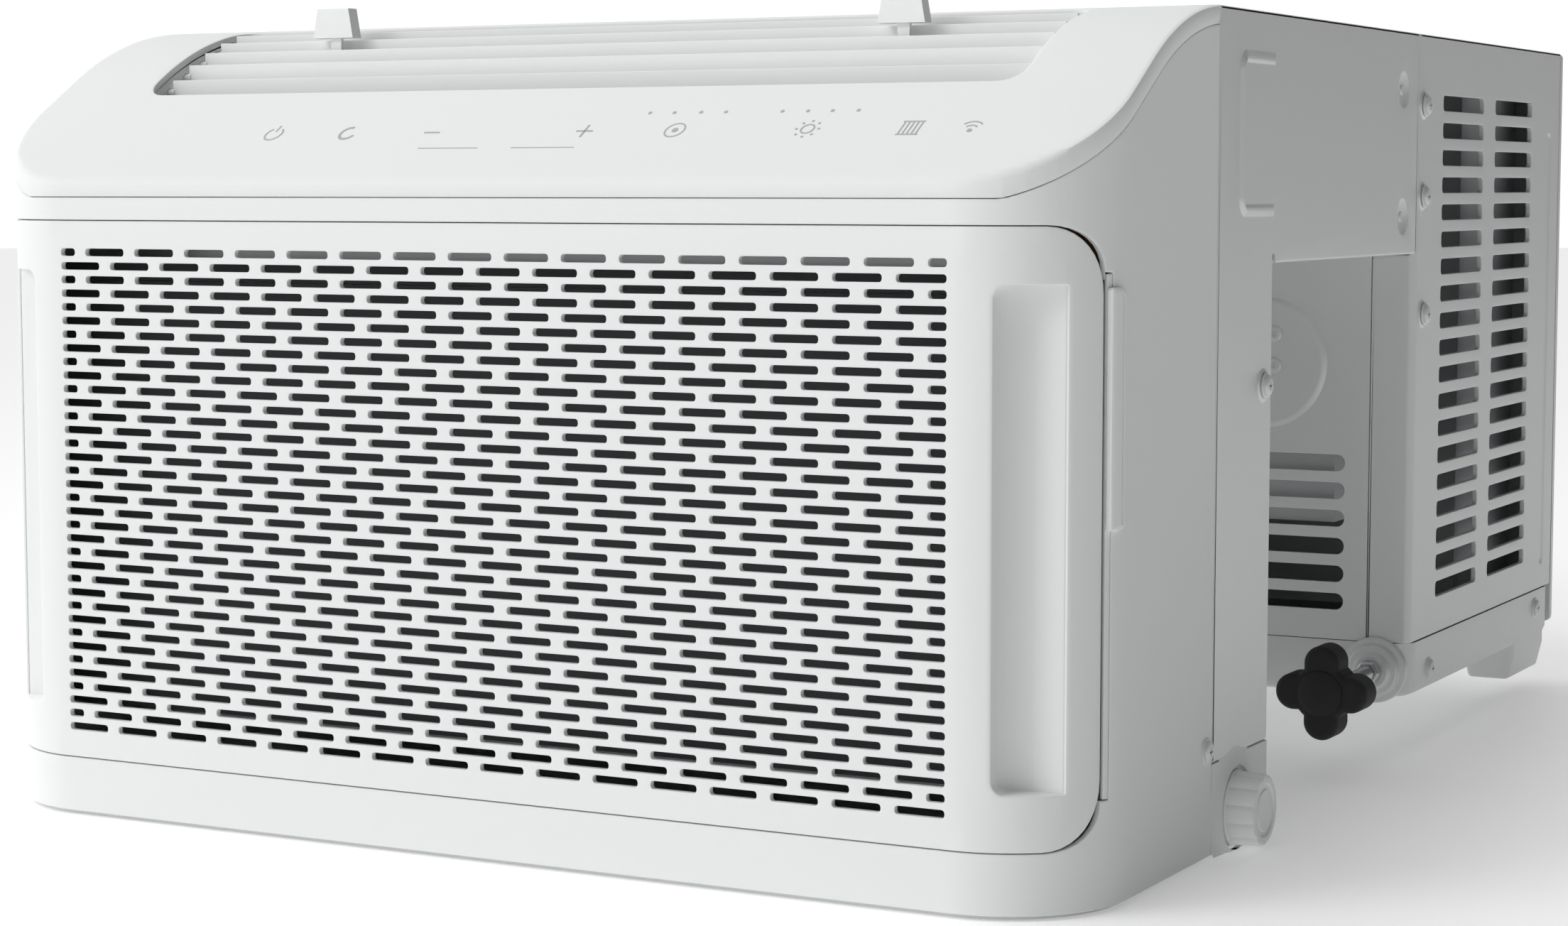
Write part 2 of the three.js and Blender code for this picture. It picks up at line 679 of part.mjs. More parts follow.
function blowerBearing() {
  const start = -SCROLL_HALF_WIDTH - DUCT_WALL;
  const ring = drum("x", SHAFT_RADIUS + 3 - GAP, start, start + DUCT_WALL, [0, 0], 16);
  const flange = drum("x", SHAFT_RADIUS + 8, start - 4, start - GAP, [0, 0], 16);
  const neck = drum("x", SHAFT_RADIUS + 3 - GAP, start - 1, start + 1, [0, 0], 16);
  const bore = drum("x", SHAFT_RADIUS + GAP, start - CUT - 4, start + CUT, [0, 0], 16);
  return join([ring, flange, neck]).subtract(bore);
}

function motorBody(axis, radius, low, high) {
  const middle = drum(axis, radius, low + 5, high - 5, [0, 0], 28);
  const caps = drum(axis, radius - 6, low, high, [0, 0], 28);
  return middle.add(caps);
}

// ---- Indoor base pan and drain ----
function indoorBasePan() {
  const back = backWallY - GAP;
  const inset = WALL + 1;
  const tray = prism("z", planOutline(inset, back), -PAN_BELOW, PAN_HEIGHT, 5);
  const basin = prism(
    "z",
    planOutline(inset + DUCT_WALL, back - DUCT_WALL),
    PAN_FLOOR - PAN_BELOW,
    PAN_HEIGHT + CUT,
    5,
  );
  const ears = [-1, 1].map((side) =>
    block(
      [side * (halfWidth - inset - 1), side * halfWidth],
      [CASING_DEPTH + GAP, INDOOR_DEPTH - GAP],
      [0, EAR_HEIGHT],
    ),
  );
  const port = drum(
    "x",
    NIPPLE_RADIUS,
    halfWidth - inset - DUCT_WALL - CUT,
    halfWidth + CUT,
    [drainY, DRAIN_Z],
    20,
  );
  return join([tray.subtract(basin), ...ears]).subtract(port);
}

function drainSpout() {
  const start = -WALL - 1 - DUCT_WALL;
  const tube = drum("x", NIPPLE_RADIUS - GAP, start, NIPPLE_LENGTH, [0, 0], 20);
  return tube.subtract(drum("x", NIPPLE_BORE, start - CUT, NIPPLE_LENGTH + CUT, [0, 0], 16));
}

function drainSeal() {
  const start = NIPPLE_LENGTH + GAP;
  return drum("x", CAP_RADIUS - CAP_WALL - GAP, start, start + SEAL_THICKNESS, [0, 0], 20);
}

function drainCap() {
  const seat = NIPPLE_LENGTH + GAP + SEAL_THICKNESS + GAP;
  const body = drum("x", CAP_RADIUS, GAP, CAP_LENGTH, [0, 0], CAP_SIDES);
  const bore = drum("x", CAP_RADIUS - CAP_WALL, -CUT, seat, [0, 0], 20);
  return body.subtract(bore);
}

// ---- Controls ----
function controlBoard() {
  const board = block([-190, 235], [-14, 14], [-0.8, 0.8]);
  const display = block([-30, 30], [-9, 9], [0.5, 4]);
  const chip = block([120, 145], [-7, 7], [-3.5, -0.5]);
  return join([board, display, chip]);
}

addPart(indoor, "front_casing", frontCasing(), WHITE_PLASTIC);
addPart(indoor, "front_grille", frontGrille(), WHITE_PLASTIC);
addPart(indoor, "top_cover", topCover(), WHITE_PLASTIC);
addPart(indoor, "outlet_liner", outletLiner(), WHITE_PLASTIC);
vanes.forEach((vane, i) => {
  addPart(indoor, `outlet_vane_${i + 1}`, outletVane(), VANE_PLASTIC, [0, vane.y, vane.z]);
});
for (const [label, side] of [
  ["left", -1],
  ["right", 1],
]) {
  addPart(indoor, `deflector_slider_${label}`, deflectorSlider(side), VANE_PLASTIC);
  for (let i = 0; i < BLADES_PER_SIDE; i += 1) {
    const x = side * (BLADE_FIRST + i * BLADE_PITCH);
    const place = [x, BLADE_AXIS_Y, bladeZ];
    addPart(indoor, `deflector_blade_${label}_${i + 1}`, deflectorBlade(), VANE_PLASTIC, place);
  }
}
addPart(
  indoor,
  "control_board",
  controlBoard(),
  BOARD_GREEN,
  [0, 36, coverHeight(32) - 12],
  [SLOPE, 0, 0],
);
addPart(indoor, "air_filter_frame", filterFrame(), GREY_PLASTIC);
addPart(indoor, "air_filter_mesh", filterMesh(), MESH_GREY);
addPart(
  indoor,
  "evaporator_coil",
  finnedCoil(coilHalf, [COIL_FRONT, coilBack], [PAN_HEIGHT + 18, grilleTop - 12], 2),
  ALUMINIUM,
);
addPart(indoor, "blower_scroll", blowerScroll(), GREY_PLASTIC);
addPart(indoor, "blower_wheel", blowerWheel(), DARK_PLASTIC, [0, blowerY, blowerZ]);
addPart(indoor, "blower_bearing", blowerBearing(), RUBBER, [0, blowerY, blowerZ]);
addPart(
  indoor,
  "blower_motor",
  motorBody("x", BLOWER_MOTOR_RADIUS, 0, BLOWER_MOTOR_LENGTH),
  BLACK_PAINT,
  [SCROLL_HALF_WIDTH + DUCT_WALL + 1 + GAP, blowerY, blowerZ],
);
addPart(indoor, "indoor_base_pan", indoorBasePan(), WHITE_PLASTIC);
addPart(indoor, "drain_spout", drainSpout(), WHITE_PLASTIC, [halfWidth, drainY, DRAIN_Z]);
addPart(indoor, "drain_seal", drainSeal(), RUBBER, [halfWidth, drainY, DRAIN_Z]);
addPart(indoor, "drain_cap", drainCap(), WHITE_PLASTIC, [halfWidth, drainY, DRAIN_Z]);

// ---- Bridge ----
function bridgeSide(side) {
  const front = CASING_DEPTH + GAP;
  const back = outdoorY - GAP;
  const outline = polygon([
    [front, EAR_HEIGHT + GAP],
    [INDOOR_DEPTH - GAP, EAR_HEIGHT + GAP],
    [INDOOR_DEPTH - GAP, sillZ],
    [back, sillZ],
    [back, HEIGHT],
    [front, HEIGHT],
  ]);
  const faces = [side * (halfWidth - SHEET), side * halfWidth].sort((a, b) => a - b);
  return prism("x", outline, ...faces);
}

const innerHalf = halfWidth - SHEET - GAP;
const grommetX = -halfWidth + 50;
const grommetZ = 62;
const grommetRadius = 8;

function indoorBackWall() {
  const wall = block([-innerHalf, innerHalf], [backWallY, backWallY + SHEET], [PAN_HEIGHT, sillZ + SHEET]);
  const hole = drum("y", grommetRadius, backWallY - CUT, INDOOR_DEPTH + CUT, [grommetX, grommetZ]);
  const pan = block(
    [-innerHalf - CUT, innerHalf + CUT],
    [backWallY - CUT, INDOOR_DEPTH + CUT],
    [0, EAR_HEIGHT + GAP],
  );
  const lowPart = block(
    [-innerHalf + 8, innerHalf - 8],
    [backWallY, backWallY + SHEET],
    [PAN_HEIGHT, EAR_HEIGHT + CUT],
  );
  return wall.subtract(pan).add(lowPart).subtract(hole);
}

function cordGrommet() {
  const neck = drum("y", grommetRadius - GAP, -2, SHEET + 3, [0, 0], 16);
  const flange = drum("y", grommetRadius + 3, SHEET + GAP, SHEET + 3, [0, 0], 16);
  const bore = drum("y", grommetRadius - 3, -CUT, SHEET + CUT, [0, 0], 16);
  return neck.add(flange).subtract(bore);
}

function bridgeFoam() {
  return block(
    [-halfWidth + 65, halfWidth - 65],
    [INDOOR_DEPTH + SILL_GAP / 3, outdoorY - 5],
    [sillZ + SHEET + 3, HEIGHT - SHEET - 3],
  );
}

// A copper line on a smooth curve through its points.
function copperLine(points, radius) {
  const curve = new THREE.CatmullRomCurve3(points.map((point) => new THREE.Vector3(...point)));
  const section = new THREE.Shape();
  section.absarc(0, 0, radius, 0, 2 * Math.PI, false);
  const tube = new THREE.ExtrudeGeometry(section, {
    steps: 36,
    curveSegments: 4,
    extrudePath: curve,
  });
  return solidOf(tube);
}

const lineX = halfWidth - 34;
const lineZ = sillZ + 48;
const compressorTop = HEIGHT - COMPRESSOR_HEADROOM;
const compressorDeepY = outdoorY + COMPRESSOR_Y;

const coilMiddle = COIL_FRONT + COIL_DEPTH / 2;

function suctionPath() {
  const dropX = COMPRESSOR_X + 8;
  const dropY = compressorDeepY - 10;
  return [
    [coilHalf + BEND_LENGTH + SUCTION_RADIUS, coilMiddle, grilleTop - 34],
    [lineX, coilMiddle, grilleTop - 20],
    [lineX, coilBack + 20, grilleTop + 6],
    [lineX, INDOOR_DEPTH, lineZ],
    [lineX, outdoorY - 20, lineZ],
    [lineX - 60, outdoorY + 22, lineZ + 30],
    [COMPRESSOR_X + 90, outdoorY + 30, compressorTop + 50],
    [dropX, dropY, compressorTop + 40],
    [dropX, dropY, compressorTop + 1],
  ];
}

// The thin line runs beside the thick one: outside it at the coil, above it over the bridge,
// and behind it over the compressor.
function liquidPath() {
  const beside = [LINE_SPACING, 0, 0];
  const above = [0, 0, LINE_SPACING];
  const behind = [0, LINE_SPACING, 4];
  const shifts = [beside, beside, above, above, above, behind, behind, behind, behind];
  return suctionPath().map((point, i) => point.map((value, axis) => value + shifts[i][axis]));
}

for (const [label, side] of [
  ["left", -1],
  ["right", 1],
]) {
  addPart(bridge, `bridge_side_${label}`, bridgeSide(side), PAINTED_STEEL);
}
addPart(
  bridge,
  "bridge_top",
  block([-innerHalf, innerHalf], [CASING_DEPTH + GAP, outdoorY - GAP], [HEIGHT - SHEET, HEIGHT]),
  PAINTED_STEEL,
);
addPart(
  bridge,
  "sill_plate",
  block([-innerHalf, innerHalf], [INDOOR_DEPTH, outdoorY - GAP], [sillZ, sillZ + SHEET]),
  PAINTED_STEEL,
);
addPart(bridge, "indoor_back_wall", indoorBackWall(), PAINTED_STEEL);
addPart(bridge, "cord_grommet", cordGrommet(), BLACK_PLASTIC, [grommetX, backWallY, grommetZ]);
addPart(bridge, "bridge_foam", bridgeFoam(), FOAM);
addPart(bridge, "suction_line", copperLine(suctionPath(), SUCTION_RADIUS), COPPER);
addPart(bridge, "liquid_line", copperLine(liquidPath(), LIQUID_RADIUS), COPPER);

// ---- Outdoor section, with its own zero at the sill gap's outdoor face ----
function outdoorSide(side) {
  const wall = block(
    [side * (halfWidth - SHEET), side * halfWidth],
    [0, baseDepth],
    [BASE_TOP + GAP, HEIGHT],
  );
  const flange = block(
    [side * (halfWidth - RETURN_FLANGE), side * halfWidth],
    [0, SHEET],
    [BASE_TOP + GAP, sillZ - GAP],
  );
  let sheet = wall.add(flange);
  for (const [start, end] of LOUVRE_COLUMNS) {
    for (let row = 0; row < LOUVRE_ROWS; row += 1) {
      const z = HEIGHT - LOUVRE_TOP_DROP - row * LOUVRE_PITCH;
      const slot = block(
        [side * (halfWidth - CUT), side * (halfWidth + CUT)],
        [start, end],
        [z - LOUVRE_HEIGHT / 2, z + LOUVRE_HEIGHT / 2],
      );
      if (z - LOUVRE_HEIGHT > BASE_TOP) sheet = sheet.subtract(slot);
    }
  }
  return sheet;
}

function outdoorFrontWall() {
  const half = halfWidth - RETURN_FLANGE - GAP;
  let wall = block([-half, half], [GAP, GAP + SHEET], [BASE_TOP + GAP, sillZ - GAP]);
  for (const side of [-1, 1]) {
    for (let row = 0; row < WALL_SLOTS; row += 1) {
      const z = BASE_TOP + WALL_SLOT_FIRST + row * WALL_SLOT_PITCH;
      const outer = half - WALL_SLOT_INSET;
      const slot = block(
        [side * (outer - WALL_SLOT_LENGTH), side * outer],
        [-CUT, CUT],
        [z - WALL_SLOT_HEIGHT / 2, z + WALL_SLOT_HEIGHT / 2],
      );
      wall = wall.subtract(slot);
    }
  }
  return wall;
}

function outdoorBasePan() {
  const outline = (inset) =>
    roundedRectangle(
      [-halfWidth + inset, halfWidth - inset],
      [inset, baseDepth - inset],
      BASE_CORNER - inset,
    );
  const tray = prism("z", outline(0), BASE_BOTTOM, BASE_TOP, 4);
  const basin = prism("z", outline(BASE_FLOOR), BASE_BOTTOM + BASE_FLOOR, BASE_TOP + CUT, 4);
  let pan = tray.subtract(basin);
  for (const side of [-1, 1]) {
    const foot = block(
      [side * (halfWidth - FOOT_WIDTH), side * (halfWidth - 0.5)],
      [baseDepth - FOOT_REAR - FOOT_LENGTH, baseDepth - FOOT_REAR],
      [FOOT_BOTTOM, BASE_BOTTOM + 1],
    );
    const centre = [side * screwX, SCREW_Z];
    const boss = drum("y", BOSS_RADIUS, -BOSS_HEIGHT, -GAP, centre, 24);
    const plinth = block(
      [side * (screwX - 14), side * (screwX + 14)],
      [-GAP - 1, BASE_CORNER + 1],
      [BASE_BOTTOM, BASE_TOP],
    );
    const bore = drum("y", ROD_RADIUS + GAP, -BOSS_HEIGHT - CUT, BASE_CORNER + CUT, centre, 16);
    pan = pan.add(foot).add(boss).add(plinth).subtract(bore);
  }
  return pan;
}

function rearGuard() {
  const start = baseDepth + GAP;
  const frame = block([-halfWidth, halfWidth], [start, start + GUARD_DEPTH], [GUARD_BOTTOM, HEIGHT]);
  const recess = block(
    [-halfWidth + SHEET, halfWidth - SHEET],
    [start - CUT, start + GUARD_DEPTH - SHEET],
    [GUARD_BOTTOM - CUT, HEIGHT - SHEET],
  );
  let guard = frame.subtract(recess);
  const low = BASE_TOP + 10;
  const high = HEIGHT - 26;
  const pitch = (high - low) / GUARD_ROWS;
  for (let row = 0; row < GUARD_ROWS; row += 1) {
    for (const side of [-1, 1]) {
      const slot = block(
        [side * GUARD_BAR, side * (halfWidth - GUARD_BORDER)],
        [start, start + GUARD_DEPTH + CUT],
        [low + row * pitch, low + (row + 1) * pitch - GUARD_BAR],
      );
      guard = guard.subtract(slot);
    }
  }
  return guard;
}

const shroudHalf = halfWidth - SHROUD_INSET;
const condenserY = baseDepth - CONDENSER_DEPTH - 4;
const shroudEnd = condenserY - 3;

function fanShroud() {
  const low = BASE_TOP + GAP;
  const high = HEIGHT - SHEET - 4;
  const tub = block([-shroudHalf, shroudHalf], [SHROUD_START, shroudEnd], [low, high]);
  const hollow = block(
    [-shroudHalf + DUCT_WALL, shroudHalf - DUCT_WALL],
    [SHROUD_START + DUCT_WALL, shroudEnd + CUT],
    [low + DUCT_WALL, high - DUCT_WALL],
  );
  const orifice = drum("y", fanRadius + 6, SHROUD_START - CUT, SHROUD_START + CUT, [0, fanZ], 40);
  return tub.subtract(hollow).subtract(orifice);
}

const fanY = SHROUD_START + 20;

function condenserFan() {
  const hub = drum("y", FAN_HUB, 0, FAN_WIDTH, [0, 0], 24);
  const blades = Array.from({ length: FAN_BLADES }, (_, i) => {
    const reach = fanRadius - FAN_HUB + 6;
    const blade = new THREE.BoxGeometry(62, 2.4, reach);
    blade.rotateZ(0.45);
    blade.translate(0, FAN_WIDTH / 2, FAN_HUB - 6 + reach / 2);
    blade.rotateY((2 * Math.PI * i) / FAN_BLADES);
    return solidOf(blade);
  });
  const limit = drum("y", fanRadius, -CUT, FAN_WIDTH + CUT, [0, 0], 40);
  return join([hub, ...blades]).intersect(limit);
}

const motorEnd = SHROUD_START - 18;

function fanMotor() {
  const body = motorBody("y", FAN_MOTOR_RADIUS, motorEnd - FAN_MOTOR_LENGTH, motorEnd);
  const shaft = drum("y", SHAFT_RADIUS, motorEnd - 1, fanY - GAP, [0, 0], 16);
  return body.add(shaft);
}

function fanMotorBracket() {
  const low = BASE_TOP + 2 * GAP;
  const high = HEIGHT - SHEET - 5;
  const strap = block([-22, 22], [motorEnd + GAP, motorEnd + 3], [low, high]);
  const arms = [
    [low, low + 3],
    [high - 3, high],
  ].map((z) => block([-22, 22], [motorEnd + GAP, SHROUD_START - GAP], z));
  const hole = drum("y", SHAFT_RADIUS + 4, motorEnd - CUT, motorEnd + CUT, [0, fanZ], 16);
  return join([strap, ...arms]).subtract(hole);
}

// A welded steel can with domed ends on three rubber-footed lugs.
function compressor() {
  const floor = BASE_BOTTOM + BASE_FLOOR + GAP;
  const bottom = floor + COMPRESSOR_FOOT;
  const profile = [
    [0, bottom],
    [COMPRESSOR_RADIUS * 0.75, bottom],
    [COMPRESSOR_RADIUS, bottom + 16],
    [COMPRESSOR_RADIUS, compressorTop - 28],
    [COMPRESSOR_RADIUS * 0.8, compressorTop - 8],
    [COMPRESSOR_RADIUS * 0.4, compressorTop],
    [0, compressorTop],
  ].map(([r, z]) => new THREE.Vector2(r, z));
  const can = solidOf(new THREE.LatheGeometry(profile, 32).rotateX(Math.PI / 2));
  const lugs = [0, 1, 2].map((i) => {
    const angle = (2 * Math.PI * i) / 3 + Math.PI / 6;
    const reach = COMPRESSOR_RADIUS - 2;
    return drum("z", 9, floor, bottom + 12, [reach * Math.cos(angle), reach * Math.sin(angle)], 12);
  });
  return join([can, ...lugs]);
}

function accumulator() {
  const profile = [
    [0, 0],
    [ACCUMULATOR_RADIUS * 0.6, 0],
    [ACCUMULATOR_RADIUS, 10],
    [ACCUMULATOR_RADIUS, 112],
    [ACCUMULATOR_RADIUS * 0.6, 122],
    [0, 122],
  ].map(([r, z]) => new THREE.Vector2(r, z));
  return solidOf(new THREE.LatheGeometry(profile, 20).rotateX(Math.PI / 2));
}

function electricsBox() {
  const high = halfWidth - BOX_INSET;
  const top = sillZ + 41;
  const box = block([high - BOX_WIDTH, high], [12, 12 + BOX_DEPTH], [BASE_TOP + 60, top]);
  const lid = block([high - BOX_WIDTH - 2, high + 2], [10, 14 + BOX_DEPTH], [top - 10, top + 2]);
  return box.add(lid);
}

for (const [label, side] of [
  ["left", -1],
  ["right", 1],
]) {
  addPart(outdoor, `outdoor_side_${label}`, outdoorSide(side), PAINTED_STEEL);
}
addPart(
  outdoor,
  "outdoor_top",
  block([-innerHalf, innerHalf], [0, baseDepth], [HEIGHT - SHEET, HEIGHT]),
  PAINTED_STEEL,
);
addPart(outdoor, "outdoor_front_wall", outdoorFrontWall(), PAINTED_STEEL);
addPart(outdoor, "outdoor_base_pan", outdoorBasePan(), PAINTED_STEEL);
addPart(outdoor, "rear_guard", rearGuard(), PAINTED_STEEL);
addPart(
  outdoor,
  "condenser_coil",
  finnedCoil(
    CONDENSER_HALF_WIDTH,
    [condenserY, condenserY + CONDENSER_DEPTH],
    [BASE_TOP + 5, HEIGHT - 20],
    2,
  ),
  ALUMINIUM,
);
addPart(outdoor, "fan_shroud", fanShroud(), GREY_PLASTIC);
addPart(outdoor, "condenser_fan", condenserFan(), DARK_PLASTIC, [0, fanY, fanZ]);
addPart(outdoor, "fan_motor", fanMotor(), BLACK_PAINT, [0, 0, fanZ]);
addPart(outdoor, "fan_motor_bracket", fanMotorBracket(), ZINC);
addPart(outdoor, "compressor", compressor(), BLACK_PAINT, [COMPRESSOR_X, COMPRESSOR_Y, 0]);
addPart(outdoor, "accumulator", accumulator(), BLACK_PAINT, [
  COMPRESSOR_X + COMPRESSOR_RADIUS + ACCUMULATOR_RADIUS + 4,
  COMPRESSOR_Y - 18,
  BASE_TOP + 50,
]);
addPart(outdoor, "electrics_box", electricsBox(), ZINC);

// ---- Levelling screws: a star knob on a threaded rod in each lower corner of the outdoor wall ----
function starKnob() {
  const reach = KNOB_RADIUS - LOBE_RADIUS;
  const lobes = [0, 1, 2, 3].map((i) => {
    const angle = (i * Math.PI) / 2;
    const centre = [reach * Math.cos(angle), reach * Math.sin(angle)];
    return drum("y", LOBE_RADIUS, 0, STAR_THICKNESS, centre, 20);
  });
  const hub = drum("y", LOBE_RADIUS + 5, -3, STAR_THICKNESS + 2, [0, 0], 24);
  return join([hub, ...lobes]);
}

function levelRod() {
  return drum("y", ROD_RADIUS, 0, ROD_LENGTH, [0, 0], 16);
}

function levelNut() {
  const nut = drum("y", NUT_RADIUS, 0, NUT_HEIGHT, [0, 0], 6);
  return nut.subtract(drum("y", ROD_RADIUS + GAP, -CUT, NUT_HEIGHT + CUT, [0, 0], 16));
}

for (const [label, side] of [
  ["left", -1],
  ["right", 1],
]) {
  const x = side * screwX;
  const rodY = -STAR_REACH + 3 + STAR_THICKNESS + 2 + GAP;
  addPart(outdoor, `level_knob_${label}`, starKnob(), BLACK_PLASTIC, [x, -STAR_REACH + 3, SCREW_Z]);
  addPart(outdoor, `level_rod_${label}`, levelRod(), ZINC, [x, rodY, SCREW_Z]);
  const nutY = -BOSS_HEIGHT - GAP - NUT_HEIGHT;
  addPart(outdoor, `level_nut_${label}`, levelNut(), ZINC, [x, nutY, SCREW_Z]);
}

// The origin is under the middle of the indoor base pan, on its flat underside.
const BASE_FACE_Y = 80;
airConditioner.position.set(0, -BASE_FACE_Y, PAN_BELOW);

export default airConditioner;
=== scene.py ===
"""Over-the-sill window air conditioner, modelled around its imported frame.

Shapes are drawn in millimetres in the cabinet's own coordinates: X across the width, Y from the
room side outwards with zero on the front face, Z up with zero at the front casing's lower edge.
A finished piece is brought to metres and to the frame's origin.

A sheet is drawn flat first: X along it, Z up it, and Y down into it, so that it faces -Y.
"""
import json
import math
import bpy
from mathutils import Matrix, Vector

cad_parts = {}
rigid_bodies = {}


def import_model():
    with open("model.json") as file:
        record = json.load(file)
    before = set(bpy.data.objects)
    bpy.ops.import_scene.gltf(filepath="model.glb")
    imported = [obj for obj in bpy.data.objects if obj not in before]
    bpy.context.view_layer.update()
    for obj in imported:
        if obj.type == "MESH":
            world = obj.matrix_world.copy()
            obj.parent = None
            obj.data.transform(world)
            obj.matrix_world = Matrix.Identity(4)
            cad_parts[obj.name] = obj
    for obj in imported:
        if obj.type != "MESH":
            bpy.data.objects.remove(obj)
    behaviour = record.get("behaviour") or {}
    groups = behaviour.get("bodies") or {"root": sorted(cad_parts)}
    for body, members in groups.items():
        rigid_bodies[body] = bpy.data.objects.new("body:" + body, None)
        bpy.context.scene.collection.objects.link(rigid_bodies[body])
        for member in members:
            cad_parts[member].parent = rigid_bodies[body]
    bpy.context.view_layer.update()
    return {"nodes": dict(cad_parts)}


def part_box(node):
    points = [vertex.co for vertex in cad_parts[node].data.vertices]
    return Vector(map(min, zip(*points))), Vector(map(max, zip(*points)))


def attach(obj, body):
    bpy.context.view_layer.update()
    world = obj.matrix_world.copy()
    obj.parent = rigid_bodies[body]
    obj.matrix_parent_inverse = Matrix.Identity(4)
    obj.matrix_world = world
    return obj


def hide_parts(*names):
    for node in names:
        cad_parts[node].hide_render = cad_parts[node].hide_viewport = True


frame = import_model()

from types import SimpleNamespace

import bmesh
import bpy
from bpy.props import FloatProperty, FloatVectorProperty, IntProperty, PointerProperty
from mathutils import Matrix, Vector

bl_info = {
    "name": "Window Air Conditioner",
    "version": (1, 0, 0),
    "blender": (4, 5, 0),
    "location": "View3D > Sidebar > Air Conditioner",
    "description": "Models an over-the-sill window air conditioner piece by piece",
    "category": "Add Mesh",
}

MM = 0.001
WELD = 0.002

# ---- Places read from the frame ----
ORIGIN = Vector((0.0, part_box("front_casing")[0].y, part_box("front_casing")[0].z))
TO_FRAME = Matrix.Translation(ORIGIN) @ Matrix.Scale(MM, 4)
TO_CABINET = TO_FRAME.inverted()


def cabinet_box(node):
    """Lowest and highest corner of a CAD node in the cabinet's coordinates, in millimetres."""
    low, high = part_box(node)
    return TO_CABINET @ low, TO_CABINET @ high


CASING_BOX = cabinet_box("front_casing")
BRIDGE_BOX = cabinet_box("bridge_side_right")
SIDE_BOX = cabinet_box("outdoor_side_right")
WALL_BOX = cabinet_box("outdoor_front_wall")
BASE_BOX = cabinet_box("outdoor_base_pan")
GUARD_BOX = cabinet_box("rear_guard")
GRILLE_BOX = cabinet_box("front_grille")
CAP_BOX = cabinet_box("drain_cap")
STAR_BOX = cabinet_box("level_knob_right")
ROD_BOX = cabinet_box("level_rod_right")
NUT_BOX = cabinet_box("level_nut_right")
HALF = CASING_BOX[1].x
TOP = cabinet_box("bridge_top")[1].z
CASING_BACK = CASING_BOX[1].y
INDOOR_BACK = cabinet_box("indoor_back_wall")[1].y
SILL_UNDERSIDE = cabinet_box("sill_plate")[0].z

# The outdoor base pan's floor and top edge, and the slot that the air filter slides through.
PAN_FLOOR, PAN_TOP = 27.0, 55.0
FILTER_SLOT_LOW, FILTER_SLOT_HIGH, FILTER_SLOT_BACK = 44.0, 255.4, 39.9

# Pressed domes that screws sit on: depth and height of each, and how far they stand out.
SIDE_DOMES = [(SIDE_BOX[0].y + 9.0, 330), (SIDE_BOX[0].y + 9.0, 284), (SIDE_BOX[0].y + 12.0, 224)]
INDOOR_DOME = (211.5, 201)
SIDE_DOME_RISE, INDOOR_DOME_RISE = 1.3, 1.4

# ---- Shape of the front casing ----
CORNER_RADIUS = 55.0
SLOPE = math.radians(32.5)
CREST = math.radians(4.0)
SLOPE_RUN = 78.0
COVER_LIP = 7.0
COVER_SIDE_DROP = 8.0
CREST_RADIUS = (CASING_BACK - SLOPE_RUN) / (math.sin(SLOPE) - math.sin(CREST))
COVER_FRONT_Z = TOP - SLOPE_RUN * math.tan(SLOPE) - CREST_RADIUS * (math.cos(CREST) - math.cos(SLOPE))
CREST_Y = SLOPE_RUN + CREST_RADIUS * math.sin(SLOPE)
CREST_Z = COVER_FRONT_Z + SLOPE_RUN * math.tan(SLOPE) - CREST_RADIUS * math.cos(SLOPE)
FLAT_HALF = HALF - CORNER_RADIUS
CORNER_ARC = CORNER_RADIUS * math.pi / 2
SIDE_END = FLAT_HALF + CORNER_ARC + CASING_BACK - CORNER_RADIUS
SHARP_ANGLE = math.radians(32)
ROUND_OVER = ((0.293, 0.707), (0.707, 0.293))
NEAR = 1e-4
SIDES = ((1, "right"), (-1, "left"))


def cover_height(y):
    """Height of the top cover's surface at a depth."""
    if y < SLOPE_RUN:
        return COVER_FRONT_Z + y * math.tan(SLOPE)
    return CREST_Z + math.sqrt(CREST_RADIUS**2 - (y - CREST_Y) ** 2)


def cover_slope(y):
    """Cosine of the top cover's slope at a depth."""
    return math.cos(SLOPE) if y < SLOPE_RUN else (cover_height(y) - CREST_Z) / CREST_RADIUS


def seam_height(y):
    """Height of the seam between the cover and the casing at a depth."""
    skirt = cover_height(y) - COVER_SIDE_DROP / cover_slope(y)
    return max(COVER_FRONT_Z - COVER_LIP, skirt)


def depth_along(u):
    """Depth reached at a distance along the unrolled front."""
    u = abs(u)
    if u <= FLAT_HALF:
        return 0.0
    if u <= FLAT_HALF + CORNER_ARC:
        return CORNER_RADIUS * (1 - math.cos((u - FLAT_HALF) / CORNER_RADIUS))
    return u - FLAT_HALF - CORNER_ARC + CORNER_RADIUS


def along_depth(y):
    """Distance along the unrolled front at which a depth is reached."""
    if y >= CORNER_RADIUS:
        return FLAT_HALF + CORNER_ARC + y - CORNER_RADIUS
    return FLAT_HALF + CORNER_RADIUS * math.acos(1 - y / CORNER_RADIUS)


GRILLE_END = along_depth(GRILLE_BOX[1].y)


# ---- From the flat sheet to its place ----
def wrap_front(p):
    """Bends a flat sheet round the cabinet's vertical front corners."""
    side = math.copysign(1, p.x)
    u = abs(p.x) - FLAT_HALF
    if u <= 0:
        return p.copy()
    if u <= CORNER_ARC:
        turn = u / CORNER_RADIUS
        reach = CORNER_RADIUS - p.y
        x = FLAT_HALF + reach * math.sin(turn)
        return Vector((side * x, CORNER_RADIUS - reach * math.cos(turn), p.z))
    return Vector((side * (HALF - p.y), CORNER_RADIUS + u - CORNER_ARC, p.z))


def drape_cover(p):
    """Lays a sheet drawn in plan on the cover's curve."""
    return Vector((p.x, p.z, cover_height(min(max(p.z, 0), CASING_BACK)) - p.y))


def to_right_side(p):
    """Stands a sheet on the cabinet's right side, its X running outwards."""
    return Vector((HALF - p.y, p.x, p.z))


